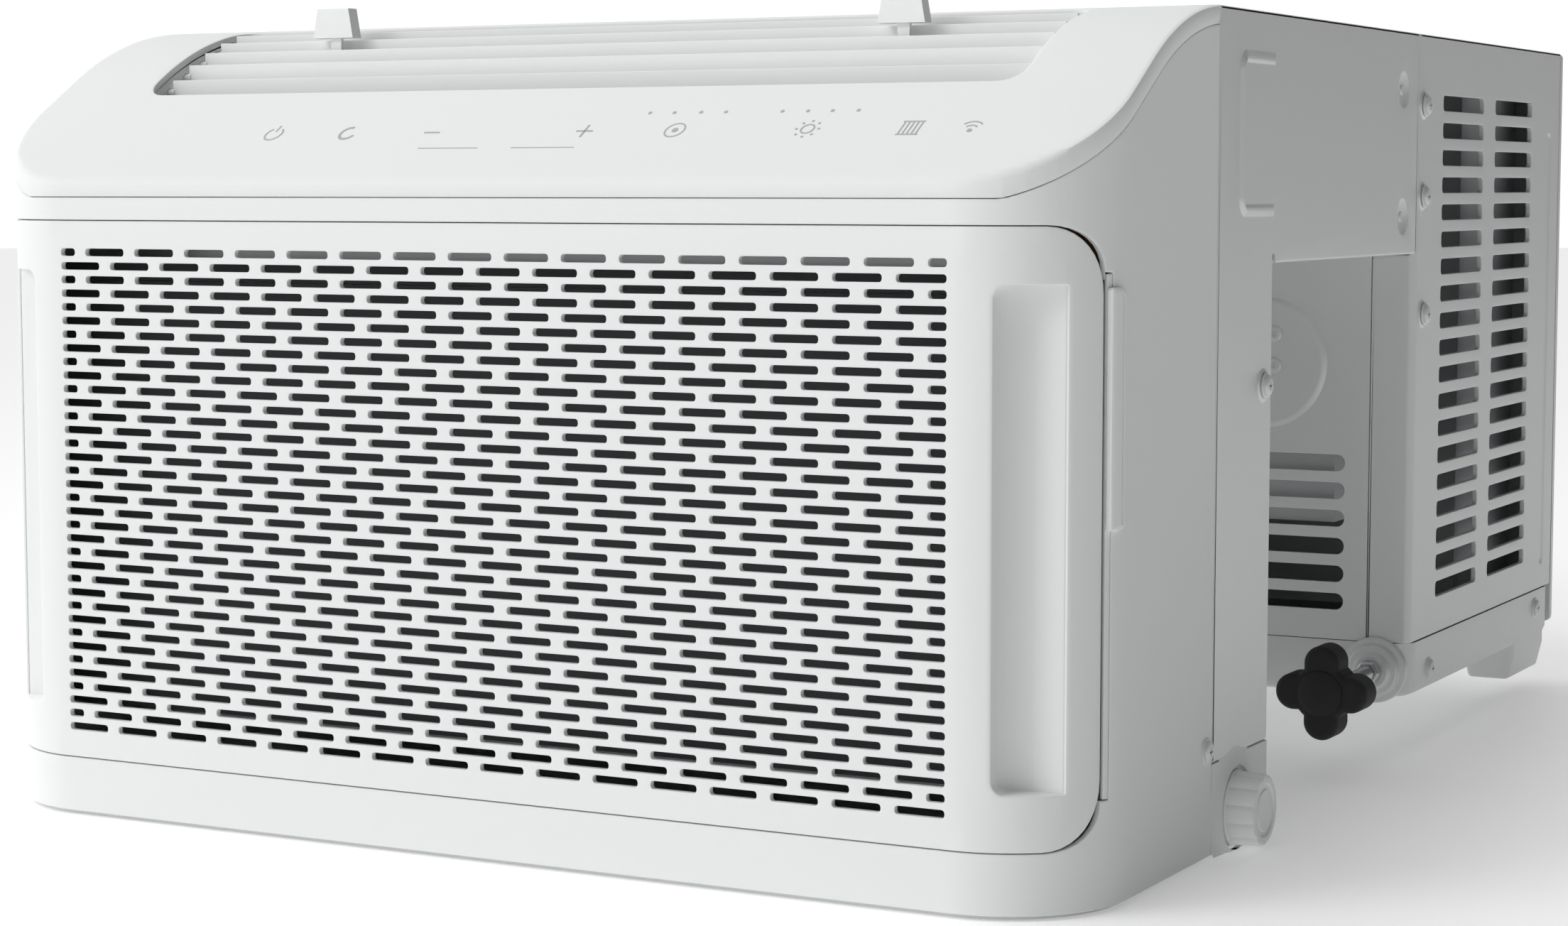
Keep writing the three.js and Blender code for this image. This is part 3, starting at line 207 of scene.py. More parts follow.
def mirrored(place):
    """The same place on the other side of the cabinet."""

    def place_mirrored(p):
        q = place(p)
        return Vector((-q.x, q.y, q.z))

    return place_mirrored


def spot_on_side(y, z, out=0.0):
    """Frame of a small shape on the right side."""
    return Matrix(((0, -1, 0, HALF + out), (1, 0, 0, y), (0, 0, 1, z), (0, 0, 0, 1)))


MIRROR = Matrix.Scale(-1, 4, (1, 0, 0))


# ---- Sheets ----
def round_over(bm, geom, radius, segments, affect):
    limits = {"clamp_overlap": affect == "EDGES", "offset_type": "OFFSET"}
    shape = {"offset": radius, "segments": segments, "profile": 0.5, "material": -1}
    bmesh.ops.bevel(bm, geom=geom, affect=affect, **shape, **limits)


def rounded_face(bm, corners, radii=(), segments=6):
    """A flat face whose corners, given anticlockwise, are rounded."""
    known = set(bm.faces)
    verts = [bm.verts.new((u, 0.0, v)) for u, v in corners]
    bm.faces.new(verts)
    for vert, radius in zip(verts, radii):
        if radius > 0:
            round_over(bm, [vert], radius, segments, "VERTICES")
    return next(face for face in bm.faces if face not in known)


def rounded_box(bm, box, radii, segments=4):
    """A rectangle with one radius for all its corners, or a radius for each."""
    u0, u1, v0, v1 = box
    corners = [(u0, v0), (u1, v0), (u1, v1), (u0, v1)]
    return rounded_face(bm, corners, radii if isinstance(radii, list) else [radii] * 4, segments)


def circle_points(radius, count, u=0.0, v=0.0):
    turns = [math.tau * i / count for i in range(count)]
    return [(u + radius * math.cos(t), v + radius * math.sin(t)) for t in turns]


def round_face(bm, u, v, radius, count=28):
    return rounded_face(bm, circle_points(radius, count, u, v))


def sink(bm, verts, depth):
    """Moves vertices down into the sheet."""
    bmesh.ops.translate(bm, vec=(0, depth, 0), verts=list(verts))


def leave_open(bm, face):
    """Takes a face away but keeps its edges."""
    bmesh.ops.delete(bm, geom=[face], context="FACES_ONLY")


def loop_at(bm, corners, depth):
    """A closed line of edges at a depth in the sheet."""
    face = rounded_face(bm, corners)
    sink(bm, face.verts, depth)
    leave_open(bm, face)


def steps_in(bm, face, steps):
    """Rings round a face: at each step it shrinks by inward and moves out by outward."""
    for inward, outward in steps:
        bmesh.ops.inset_region(
            bm, faces=[face], thickness=inward, depth=outward, use_boundary=True, use_even_offset=True
        )


def open_at(bm, depth):
    """Edges at a depth that border one face or none."""
    edges = [edge for edge in bm.edges if len(edge.link_faces) < 2]
    return [edge for edge in edges if all(abs(vert.co.y - depth) < NEAR for vert in edge.verts)]


def start_sheet(bm, face, rim, thickness):
    """The sheet's rounded rim and its outer wall, left open in front and behind."""
    sink(bm, face.verts, rim)
    steps_in(bm, face, [(a * rim, b * rim) for a, b in ROUND_OVER])
    made = bmesh.ops.extrude_edge_only(bm, edges=open_at(bm, rim))["geom"]
    sink(bm, [item for item in made if isinstance(item, bmesh.types.BMVert)], thickness - rim)
    leave_open(bm, face)


def punch(bm, face, lip, thickness):
    """A hole with a rounded lip, where the face was drawn."""
    steps_in(bm, face, [(upward * lip, -inward * lip) for inward, upward in ROUND_OVER])
    steps_in(bm, face, [(0, lip - thickness)])
    leave_open(bm, face)


def punch_box(bm, box, radius, lip, thickness, segments=4):
    u0, u1, v0, v1 = box
    grown = (u0 - lip, u1 + lip, v0 - lip, v1 + lip)
    punch(bm, rounded_box(bm, grown, radius + lip, segments), lip, thickness)


def punch_column(bm, ends, start, height, pitch, rows, *hole):
    """Slots one above the other: the first starts at a height, the rest follow at a pitch."""
    for row in range(rows):
        low = start + row * pitch
        punch_box(bm, (*sorted(ends), low, low + height), *hole)


def fill(bm, depth, facing):
    bmesh.ops.triangle_fill(
        bm, use_beauty=True, use_dissolve=False, edges=open_at(bm, depth), normal=(0, facing, 0)
    )


def close_sheet(bm, thickness):
    fill(bm, 0.0, -1)
    fill(bm, thickness, 1)


def cut_across(bm, places, axis=0):
    """Cuts every face where it crosses the given places, so that it can bend there."""
    normal = Vector([float(i == axis) for i in range(3)])
    for place in places:
        geom = bm.verts[:] + bm.edges[:] + bm.faces[:]
        bmesh.ops.bisect_plane(bm, geom=geom, dist=NEAR, plane_co=normal * place, plane_no=normal)


def put(bm, place):
    for vert in bm.verts:
        vert.co = place(vert.co)


def corner_cuts(count):
    places = [FLAT_HALF + CORNER_ARC * i / count for i in range(count + 1)]
    return places + [-place for place in places]


def sweep(bm, verts, angle, steps):
    """Turns a line of vertices about the sheet's axis."""
    edges = [bm.edges.new(pair) for pair in zip(verts, verts[1:])]
    bmesh.ops.spin(
        bm,
        geom=verts + edges,
        cent=(0, 0, 0),
        axis=(0, math.copysign(1, angle), 0),
        angle=abs(angle),
        steps=steps,
        use_merge=abs(angle) >= math.tau,
    )


def turn(bm, profile, steps=24):
    """Turns a profile of (radius, height) pairs about the sheet's outward axis."""
    sweep(bm, [bm.verts.new((radius, -height, 0.0)) for radius, height in profile], math.tau, steps)
    bmesh.ops.remove_doubles(bm, verts=bm.verts, dist=NEAR)


def absorb(bm, part):
    """Moves a part into a shape."""
    mesh = bpy.data.meshes.new("part")
    part.to_mesh(mesh)
    part.free()
    bm.from_mesh(mesh)
    bpy.data.meshes.remove(mesh)


def add_copies(bm, part, places):
    """Adds a copy of a part at each place."""
    for place in places:
        copy = part.copy()
        bmesh.ops.transform(copy, matrix=place, verts=copy.verts)
        absorb(bm, copy)


def sized(draw):
    """Lets a drawing function take its sizes first and the mesh it draws in later."""
    return lambda *sizes: lambda bm: draw(bm, *sizes)


turned = sized(turn)


def add_shape(bm, shape, *places):
    """Adds a small shape, drawn by a function, at each place."""
    part = bmesh.new()
    shape(part)
    add_copies(bm, part, places)
    part.free()


def add_object(name, data):
    obj = bpy.data.objects.new(name, data)
    bpy.context.scene.collection.objects.link(obj)
    return obj


def make_piece(bm, name, finish, replaced=None, body="chassis", wall=0.0):
    """Brings a finished shape into the frame as a piece of the object."""
    bmesh.ops.remove_doubles(bm, verts=bm.verts, dist=WELD)
    bmesh.ops.recalc_face_normals(bm, faces=bm.faces)
    bmesh.ops.transform(bm, matrix=TO_FRAME, verts=bm.verts)
    for face in bm.faces:
        face.smooth = True
        face.material_index = 0
    for edge in bm.edges:
        edge.smooth = edge.calc_face_angle(0.0) < SHARP_ANGLE
    if not bm.faces:
        raise RuntimeError(f"{name} has no faces")
    mesh = bpy.data.meshes.new(name)
    bm.to_mesh(mesh)
    bm.free()
    obj = add_object(name, mesh)
    mesh.materials.append(finish_material(finish))
    if wall:
        solidify = obj.modifiers.new("Wall", "SOLIDIFY")
        solidify.thickness = wall * MM
        solidify.offset = -1
    weighted = obj.modifiers.new("Shading", "WEIGHTED_NORMAL")
    weighted.keep_sharp = True
    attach(obj, body)
    if replaced:
        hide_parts(replaced)


def piece_of(shape, places, name, finish, replaced=None, body="chassis"):
    """Makes a piece that is one small shape, or the same one at several places."""
    bm = bmesh.new()
    add_shape(bm, shape, *places)
    make_piece(bm, name, finish, replaced, body)


def body_of(node):
    """Name of the moving body that a CAD node belongs to."""
    return frame["nodes"][node].parent.name.split(":")[-1]


def refine(node, finish, edge=0.5, trim=None):
    """A copy of a CAD node with its edges rounded over, trimmed beyond a place across."""
    bm = bmesh.new()
    bm.from_mesh(frame["nodes"][node].data)
    bmesh.ops.transform(bm, matrix=TO_CABINET, verts=bm.verts)
    bmesh.ops.remove_doubles(bm, verts=bm.verts, dist=0.005)
    bmesh.ops.dissolve_limit(bm, angle_limit=math.radians(0.5), verts=bm.verts, edges=bm.edges)
    if trim is not None:
        geom = bm.verts[:] + bm.edges[:] + bm.faces[:]
        bmesh.ops.bisect_plane(
            bm, geom=geom, dist=NEAR, plane_co=(trim, 0, 0), plane_no=(1, 0, 0), clear_outer=True
        )
    sharp = [e for e in bm.edges if e.is_manifold and e.calc_face_angle(0.0) > SHARP_ANGLE]
    round_over(bm, sharp, edge, 2, "EDGES")
    make_piece(bm, f"{node}_shell", finish, node, body_of(node))


# ---- Finishes ----
# colour, roughness, metallic, grain across (mm), grain depth (mm), colour change, roughness change
FINISHES = {
    "white_plastic": ((0.785, 0.79, 0.79), 0.44, 0.0, 0.55, 0.012, 0.03, 0.07),
    # The vanes' own bright white. The drain cap also gets it as painted light: it is lighter than the
    # moulding white the cap is made of.
    "vane_plastic": ((0.97, 0.975, 0.98), 0.38, 0.0, 0.6, 0.006, 0.02, 0.06),
    "painted_steel": ((0.78, 0.785, 0.785), 0.40, 0.05, 1.3, 0.02, 0.03, 0.08),
    "grey_plastic": ((0.32, 0.325, 0.33), 0.55, 0.0, 0.7, 0.015, 0.06, 0.10),
    # Dark plastic of the blower wheel and the condenser fan. The filter frame also gets it, as painted shade
    # behind the grille slots.
    "dark_plastic": ((0.03, 0.032, 0.035), 0.55, 0.0, 0.7, 0.015, 0.15, 0.10),
    "black_plastic": ((0.010, 0.010, 0.011), 0.24, 0.0, 0.8, 0.010, 0.20, 0.10),
    "coil_aluminium": ((0.22, 0.225, 0.23), 0.42, 0.85, 1.6, 0.05, 0.12, 0.15),
    "copper_line": ((0.66, 0.32, 0.18), 0.36, 0.95, 3.0, 0.02, 0.18, 0.14),
    "zinc_steel": ((0.55, 0.56, 0.57), 0.34, 0.9, 1.2, 0.02, 0.12, 0.16),
    "black_paint": ((0.02, 0.021, 0.022), 0.45, 0.1, 1.2, 0.02, 0.2, 0.12),
    "foam": ((0.83, 0.82, 0.78), 0.9, 0.0, 1.4, 0.25, 0.08, 0.04),
    "rubber": ((0.02, 0.02, 0.02), 0.75, 0.0, 0.6, 0.02, 0.15, 0.08),
    "circuit_board": ((0.02, 0.09, 0.05), 0.5, 0.0, 2.4, 0.03, 0.3, 0.12),
    "filter_mesh": ((0.008, 0.008, 0.009), 0.85, 0.0, 0.9, 0.15, 0.25, 0.06),
}


def set_inputs(node, values):
    for name, value in values.items():
        node.inputs[name].default_value = value


def node_of_type(tree, kind):
    return next(node for node in tree.nodes if node.type == kind)


def link_noise(tree, coordinates, size_mm, detail):
    noise = tree.nodes.new("ShaderNodeTexNoise")
    set_inputs(noise, {"Scale": 1.0 / (size_mm * MM), "Detail": detail})
    tree.links.new(coordinates, noise.inputs["Vector"])
    return noise.outputs["Fac"]


def link_range(tree, value, to_low, to_high, low=0.3, high=0.7):
    node = tree.nodes.new("ShaderNodeMapRange")
    set_inputs(node, {"From Min": low, "From Max": high, "To Min": to_low, "To Max": to_high})
    tree.links.new(value, node.inputs["Value"])
    return node.outputs["Result"]


def surface_material(name, colour, rough, metal, grain, depth, tint, polish):
    """A surface with fine grain, faint staining and worn patches."""
    material = bpy.data.materials.new(name)
    material.use_nodes = True
    tree = material.node_tree
    shader = node_of_type(tree, "BSDF_PRINCIPLED")
    set_inputs(shader, {"Metallic": metal})
    where = tree.nodes.new("ShaderNodeTexCoord").outputs["Object"]
    broad = link_noise(tree, where, 85.0, 4.0)
    fine = link_noise(tree, where, grain, 2.0)
    shade = tree.nodes.new("ShaderNodeMix")
    shade.data_type = "RGBA"
    set_inputs(shade, {6: (*colour, 1.0), 7: (*(c * (1 - tint) for c in colour), 1.0)})
    tree.links.new(link_range(tree, broad, 0.0, 1.0), shade.inputs[0])
    tree.links.new(shade.outputs[2], shader.inputs["Base Color"])
    worn = link_noise(tree, where, 30.0, 6.0)
    tree.links.new(link_range(tree, worn, rough - polish / 2, rough + polish / 2), shader.inputs["Roughness"])
    bump = tree.nodes.new("ShaderNodeBump")
    set_inputs(bump, {"Distance": depth * MM, "Strength": 0.6})
    tree.links.new(fine, bump.inputs["Height"])
    tree.links.new(bump.outputs["Normal"], shader.inputs["Normal"])
    return material


def finish_material(finish):
    """The finish's material, in the colour chosen in the settings where they have one."""
    usual, *rest = FINISHES[finish]
    colour = tuple(getattr(bpy.context.scene.ac_colours, finish, usual))
    return bpy.data.materials.get(finish) or surface_material(finish, colour, *rest)


# ---- Settings ----
def length(name, value, description):
    return FloatProperty(name=name, description=description, default=value * MM, unit="LENGTH")


def colour_of(name, finish):
    """A colour setting that starts at the finish's own colour."""
    value = FINISHES[finish][0]
    return FloatVectorProperty(name=name, description=f"Colour of {finish}", default=value, subtype="COLOR")


def number(name, value, description):
    return IntProperty(name=name, description=description, default=value)


def power(name, value):
    return FloatProperty(name=name, description="Power in watts", default=value, unit="POWER")


class ACFrontSettings(bpy.types.PropertyGroup):
    """Sizes of the grille, the casing and the cover."""

    tile_width: length("Slot pitch across", 28.36, "Distance between slots in a row")
    tile_height: length("Slot pitch up", 6.27, "Distance between rows of slots")
    slot_length: length("Slot length", 22.0, "Length of a grille slot")
    slot_height: length("Slot height", 3.5, "Height of a grille slot")
    slot_lip: length("Slot lip", 0.35, "Rounding of a slot's edge")
    wall: length("Wall", 2.8, "Thickness of the mouldings")
    rim: length("Rim", 0.9, "Rounding of the mouldings' outer edges")
    seam: length("Seam", 0.4, "Gap between the mouldings")
    panel_corner: length("Panel corner", 27.0, "Radius of the grille panel's corners")
    pocket_inner: length("Pocket inner end", 242.0, "Where the finger pocket begins, from the middle")
    pocket_outer: length("Pocket outer end", 274.4, "Where the finger pocket ends, along the sheet")
    pocket_low: length("Pocket bottom", 47.5, "Height of the finger pocket's lower end")
    pocket_high: length("Pocket top", 251.8, "Height of the finger pocket's upper end")
    pocket_depth: length("Pocket depth", 20.7, "Depth of the finger pocket's floor")
    pocket_round: length("Pocket round", 14.0, "Radius of the finger pocket's inner end")
    outlet_half: length("Outlet half width", 226.0, "Half of the outlet's width")
    outlet_front: length("Outlet front", 64.6, "Depth of the outlet's front edge")
    outlet_back: length("Outlet back", 143.0, "Depth of the outlet's back edge")
    outlet_corner: length("Outlet corner", 10.0, "Radius of the outlet's corners")
    cover_rim: length("Cover rim", 2.5, "Rounding of the cover's edge")
    columns: number("Columns", 16, "Slots in a full row")
    row_pairs: number("Row pairs", 18, "Pairs of slot rows")


class ACSteelSettings(bpy.types.PropertyGroup):
    """Sizes of the folded steel."""

    rim: length("Fold", 1.4, "Rounding of the sheets' outer edges")
    sheet: length("Sheet", 1.2, "Thickness of the sheet")
    louvre_wall: length("Louvre wall", 2.6, "Depth of a louvre's turned-in edge")
    louvre_pitch: length("Louvre pitch", 14.08, "Distance between louvres")
    louvre_height: length("Louvre height", 8.0, "Height of a louvre")
    louvre_drop: length("Louvre drop", 34.0, "First louvre's middle below the top")
    louvre_corner: length("Louvre corner", 2.5, "Radius of a louvre's corners")
    fold_radius: length("Corner fold", 4.0, "Radius of the side's front corner")
    flange: length("Flange", 23.0, "Side sheet's return round the front corner")
    slot_pitch: length("Wall slot pitch", 14.4, "Distance between the front wall's slots")
    slot_height: length("Wall slot height", 8.5, "Height of the front wall's slots")
    slot_length: length("Wall slot length", 124.0, "Length of the front wall's slots")
    slot_inset: length("Wall slot inset", 12.5, "From the slots to the wall's edge")
    slot_first: length("First wall slot", 75.0, "Height of the lowest slot")
    guard_border: length("Guard border", 42.0, "From the guard's slots to its side")
    guard_bar: length("Guard bar", 6.0, "Material between the guard's slots")
    louvres: number("Louvres", 19, "Louvres in a column")
    wall_slots: number("Wall slots", 6, "Slots on each side of the front wall")
    guard_rows: number("Guard rows", 18, "Rows of slots in the guard")


class ACHardwareSettings(bpy.types.PropertyGroup):
    """Sizes of screws, knobs and rods."""

    screw_radius: length("Screw head", 4.7, "Radius of a screw head")
    lobe_centre: length("Lobe centre", 14.4, "From the star knob's axis to a lobe's middle")
    lobe_radius: length("Lobe radius", 9.0, "Radius of a star knob's lobe")
    star_valley: length("Star valley", 14.6, "From the star knob's axis to the valleys")
    rod_radius: length("Rod", 4.0, "Levelling rod's radius")
    thread_pitch: length("Thread pitch", 1.5, "Distance between thread crests")
    thread_depth: length("Thread depth", 0.45, "Depth of the thread")
    mark_height: length("Mark height", 0.16, "How far the printed marks stand out")


class ACColourSettings(bpy.types.PropertyGroup):
    """Colours of the cabinet."""

    white_plastic: colour_of("Mouldings", "white_plastic")
    # On the drain cap this lighter white is painted light, not the cap's own colour.
    vane_plastic: colour_of("Vanes and drain cap", "vane_plastic")
    painted_steel: colour_of("Sheet steel", "painted_steel")
    black_plastic: colour_of("Star knobs", "black_plastic")


class ACStageSettings(bpy.types.PropertyGroup):
    """The floor, the lights and the camera."""

    lens: FloatProperty(name="Lens", description="Focal length in millimetres", default=72.4856)
    key_power: power("Key light", 34.0)
    fill_power: power("Fill light", 0.4)
    top_power: power("Top light", 9.0)
    sky: FloatProperty(name="Surroundings", description="Strength of the bright side", default=1.0)


def in_mm(group):
    """A settings group's lengths in millimetres."""
    values = {key: getattr(group, key) for key in group.__annotations__}
    return SimpleNamespace(**{k: v / MM if isinstance(v, float) else v for k, v in values.items()})


class PieceOperator:
    """What every operator shares."""

    bl_options = {"REGISTER", "UNDO"}


# ---- Front ----
def slot_tile(s, width, slot):
    """One slot with the sheet round it."""
    bm = bmesh.new()
    w, h = width / 2, s.tile_height / 2
    for depth in (0.0, s.wall):
        corners = [(-w, -h), (0, -h), (w, -h), (w, h), (0, h), (-w, h)]
        loop_at(bm, corners, depth)
    half = (slot / 2, s.slot_height / 2)
    punch_box(bm, (-half[0], half[0], -half[1], half[1]), 1.35, s.slot_lip, s.wall, 3)
    close_sheet(bm, s.wall)
    return bm


def slot_row(bm, s, tile, count, z, shift=0.0):
    start = shift - (count - 1) / 2 * s.tile_width
    add_copies(bm, tile, [Matrix.Translation((start + i * s.tile_width, 0, z)) for i in range(count)])


def slotted_field(s, low):
    """Two rows of slots, the second half a pitch along, repeated up the panel."""
    pair = bmesh.new()
    full = slot_tile(s, s.tile_width, s.slot_length)
    half = slot_tile(s, s.tile_width / 2, s.slot_length / 2 - 3)
    slot_row(pair, s, full, s.columns, s.tile_height / 2)
    slot_row(pair, s, full, s.columns - 1, s.tile_height * 1.5)
    for side in (-1, 1):
        x = side * (s.columns * 2 - 1) * s.tile_width / 4
        slot_row(pair, s, half, 1, s.tile_height * 1.5, x)
    field = bmesh.new()
    rises = [low + k * 2 * s.tile_height for k in range(s.row_pairs)]
    add_copies(field, pair, [Matrix.Translation((0, 0, rise)) for rise in rises])
    for part in (pair, full, half):
        part.free()
    return field


def field_loop(bm, s, low, depth):
    """The edge of the slotted field, with the field's own vertices, as an opening."""
    half = s.columns * s.tile_width / 2
    across = [-half + i * s.tile_width / 2 for i in range(2 * s.columns)]
    up = [low + k * s.tile_height for k in range(2 * s.row_pairs)]
    high = low + 2 * s.row_pairs * s.tile_height
    corners = [(u, low) for u in across] + [(half, v) for v in up]
    corners += [(-u, high) for u in across] + [(-half, low + high - v) for v in up]
    loop_at(bm, corners, depth)


# Marks on the faces that become the finger pockets, in front and behind.
POCKET_FRONT, POCKET_BACK = 1, 2


def pocket_floor(s, x):
    centre = s.pocket_inner + s.pocket_round
    if x >= centre:
        return s.pocket_depth
    return s.pocket_depth - s.pocket_round + math.sqrt(max(s.pocket_round**2 - (centre - x) ** 2, 0))


def sink_pockets(bm, s):
    """Pushes the pockets' faces in to the curved floor, in front and behind."""
    for mark, extra in ((POCKET_FRONT, 0.0), (POCKET_BACK, 2.0)):
        faces = [face for face in bm.faces if face.material_index == mark]
        made = bmesh.ops.extrude_face_region(bm, geom=faces)["geom"]
        for vert in (item for item in made if isinstance(item, bmesh.types.BMVert)):
            floor = pocket_floor(s, abs(vert.co.x)) + extra
            vert.co.y = max(floor, vert.co.y + 0.6)
        bmesh.ops.delete(bm, geom=faces, context="FACES")


class AC_OT_grille(PieceOperator, bpy.types.Operator):
    """Models the front grille with its slots and finger pockets"""

    bl_idname = "air_conditioner.grille"
    bl_label = "Front Grille"

    def execute(self, context):
        s = in_mm(context.scene.ac_front)
        base, top = GRILLE_BOX[0].z, GRILLE_BOX[1].z
        low = (base + top) / 2 - s.row_pairs * s.tile_height
        bm = bmesh.new()
        outline = (-GRILLE_END, GRILLE_END, base, top)
        start_sheet(bm, rounded_box(bm, outline, s.panel_corner, 10), s.rim, s.wall)
        marked = []
        for side in (-1, 1):
            inner, outer = (7.0, 2.0) if side > 0 else (2.0, 7.0)
            for mark, extra in ((POCKET_FRONT, 0.0), (POCKET_BACK, 2.0)):
                ends = sorted((side * (s.pocket_inner - extra), side * (s.pocket_outer + extra)))
                box = (*ends, s.pocket_low - extra, s.pocket_high + extra)
                face = rounded_box(bm, box, [inner, outer, outer, inner], 6)
                if mark == POCKET_FRONT:
                    steps_in(bm, face, [(0.7, -0.3), (0.3, -0.7)])
                else:
                    sink(bm, face.verts, s.wall)
                marked.append((face, mark))
        for depth in (0.0, s.wall):
            field_loop(bm, s, low, depth)
        close_sheet(bm, s.wall)
        for face, mark in marked:
            face.material_index = mark
        bends = [p for p in corner_cuts(22) if abs(p) > s.columns * s.tile_width / 2 + 0.4]
        bends += [side * (s.pocket_inner + 1.2 * i) for side in (-1, 1) for i in range(1, 12)]
        cut_across(bm, bends)
        put(bm, wrap_front)
        sink_pockets(bm, s)
        field = slotted_field(s, low)
        put(field, wrap_front)
        absorb(bm, field)
        make_piece(bm, "grille_panel", "white_plastic", "front_grille")
        return {"FINISHED"}


class AC_OT_casing(PieceOperator, bpy.types.Operator):
    """Models the front casing round the grille"""

    bl_idname = "air_conditioner.casing"
    bl_label = "Front Casing"

    def execute(self, context):
        s = in_mm(context.scene.ac_front)
        bm = bmesh.new()
        shut = 0.3
        steps = [SIDE_END - (SIDE_END - FLAT_HALF) * i / 48 for i in range(49)]
        rim_line = [(u, seam_height(depth_along(u)) - shut) for u in steps]
        outline = [(-SIDE_END, 0.0), (SIDE_END, 0.0)] + rim_line
        outline += [(-u, z) for u, z in reversed(rim_line)]
        start_sheet(bm, rounded_face(bm, outline), s.rim, s.wall)
        lip = 0.7
        end, slide = GRILLE_END + s.seam + lip, along_depth(FILTER_SLOT_BACK) + lip
        low, high = GRILLE_BOX[0].z - s.seam - lip, GRILLE_BOX[1].z + s.seam + lip
        slot_low, slot_high = FILTER_SLOT_LOW - lip, FILTER_SLOT_HIGH + lip
        corners = [(-end, low), (end, low), (end, slot_low), (slide, slot_low)]
        corners += [(slide, slot_high), (end, slot_high), (end, high), (-end, high)]
        corner = s.panel_corner + s.seam + lip
        radii = [corner, corner, 0.5, lip + 0.6, lip + 0.6, 0.5, corner, corner]
        hole = rounded_face(bm, corners, radii, 8)
        punch(bm, hole, lip, s.wall)
        close_sheet(bm, s.wall)
        cut_across(bm, corner_cuts(26))
        put(bm, wrap_front)
        make_piece(bm, "casing_shell", "white_plastic", "front_casing")
        return {"FINISHED"}


class AC_OT_cover(PieceOperator, bpy.types.Operator):
    """Models the top cover with the air outlet's opening"""

    bl_idname = "air_conditioner.cover"
    bl_label = "Top Cover"

    def execute(self, context):
        s = in_mm(context.scene.ac_front)
        bm = bmesh.new()
        corners = [(-HALF, 0.0), (HALF, 0.0), (HALF, CASING_BACK), (-HALF, CASING_BACK)]
        top = rounded_face(bm, corners, [CORNER_RADIUS, CORNER_RADIUS, 0, 0], 20)
        skirt = s.cover_rim + 1
        start_sheet(bm, top, s.cover_rim, skirt)
        opening = (-s.outlet_half, s.outlet_half, s.outlet_front, s.outlet_back)
        punch_box(bm, opening, s.outlet_corner, 1.4, 4.0, 6)
        fill(bm, 0.0, -1)
        cut_across(bm, [SLOPE_RUN + i * (CASING_BACK - SLOPE_RUN) / 20 for i in range(20)], axis=2)
        cut_across(bm, [4.0 * i for i in range(1, 6)], axis=2)
        for vert in {vert for edge in open_at(bm, skirt) for vert in edge.verts}:
            y = min(max(vert.co.z, 0), CASING_BACK)
            vert.co.y = cover_height(y) - seam_height(y)
        put(bm, drape_cover)
        make_piece(bm, "cover_shell", "white_plastic", "top_cover", wall=2.2)
        return {"FINISHED"}


# ---- Control marks ----
@sized
def bar_mark(bm, u0, u1, v0, v1, height):
    face = rounded_box(bm, (u0, u1, v0, v1), min(u1 - u0, v1 - v0) * 0.45, 3)
    steps_in(bm, face, [(0.03, height)])


@sized
def ring_mark(bm, radius, width, height, start=0, end=360):
    """A ring, or part of one, that stands out of the sheet."""
    profile = [(radius - width, 0), (radius - width, height), (radius, height), (radius, 0)]
    cos, sin = math.cos(math.radians(start)), math.sin(math.radians(start))
    verts = [bm.verts.new((r * cos, -h, r * sin)) for r, h in profile]
    sweep(bm, verts, math.radians(start - end), 24)


def mark_shapes(h):
    """Generic signs of the control panel: where each goes, and its strokes."""
    dash = bar_mark(-4.2, 4.2, -0.5, 0.5, h)
    signs = {
        (-127, 33): [ring_mark(4.6, 0.8, h, 125, 415), bar_mark(-0.4, 0.4, 1.5, 6.0, h)],
        (-86, 33): [ring_mark(4.6, 1.3, h, 80, 340)],
        (-41, 33): [dash],
        (37.5, 33): [dash, bar_mark(-0.5, 0.5, -4.2, 4.2, h)],
        (-22, 22): [bar_mark(-19, 12, -0.25, 0.25, h)],
        (22, 22): [bar_mark(-15, 17, -0.25, 0.25, h)],
        (82, 33): [ring_mark(4.8, 0.7, h), ring_mark(1.4, 1.3, h)],
        (145, 33): [ring_mark(3.2, 0.7, h)],
        (192, 33): [bar_mark(-5.0, 5.0, v, v + 0.8, h) for v in (-4.6, 3.8)]
        + [bar_mark(2.0 * i - 0.35, 2.0 * i + 0.35, -3.8, 3.8, h) for i in range(-2, 3)],
        (219, 31): [ring_mark(1.1, 1.0, h)] + [ring_mark(r, 0.7, h, 45, 135) for r in (3.6, 6.0)],
    }
    strokes = [(centre, stroke) for centre, sign in signs.items() for stroke in sign]
    strokes += [((x, 45), ring_mark(0.9, 0.85, h)) for x in (63, 75, 88, 100, 127, 139, 150.5, 162.5)]
    return strokes + [(ray, ring_mark(0.6, 0.55, h)) for ray in circle_points(5.2, 8, 145, 33)]


class AC_OT_marks(PieceOperator, bpy.types.Operator):
    """Models the generic signs printed on the control slope"""

    bl_idname = "air_conditioner.marks"
    bl_label = "Control Marks"

    def execute(self, context):
        s = in_mm(context.scene.ac_hardware)
        bm = bmesh.new()
        for (u, v), stroke in mark_shapes(s.mark_height):
            add_shape(bm, stroke, Matrix.Translation((u, 0, v)))
        put(bm, drape_cover)
        make_piece(bm, "control_marks", "grey_plastic")
        return {"FINISHED"}


# ---- Sheet steel ----
def concave_dish(bm, u, v):
    """A shallow pressed dish with a raised middle."""
    face = round_face(bm, u, v, 9.6)
    steps_in(bm, face, [(0.7, -0.15), (1.0, -0.45), (2.4, -0.55), (2.6, -0.3), (0.9, -0.02)])
    steps_in(bm, face, [(0.25, 0.35), (0.5, 0.2)])


def screw_dome(bm, u, v, radius, height):
    """A pressed dome that a screw sits on."""
    face = round_face(bm, u, v, radius)
    rise = ((0.4, 0.06), (0.9, 0.32), (1.2, 0.38), (1.0, 0.18), (0.9, 0.06))
    steps_in(bm, face, [(inward * radius / 9, part * height) for inward, part in rise])


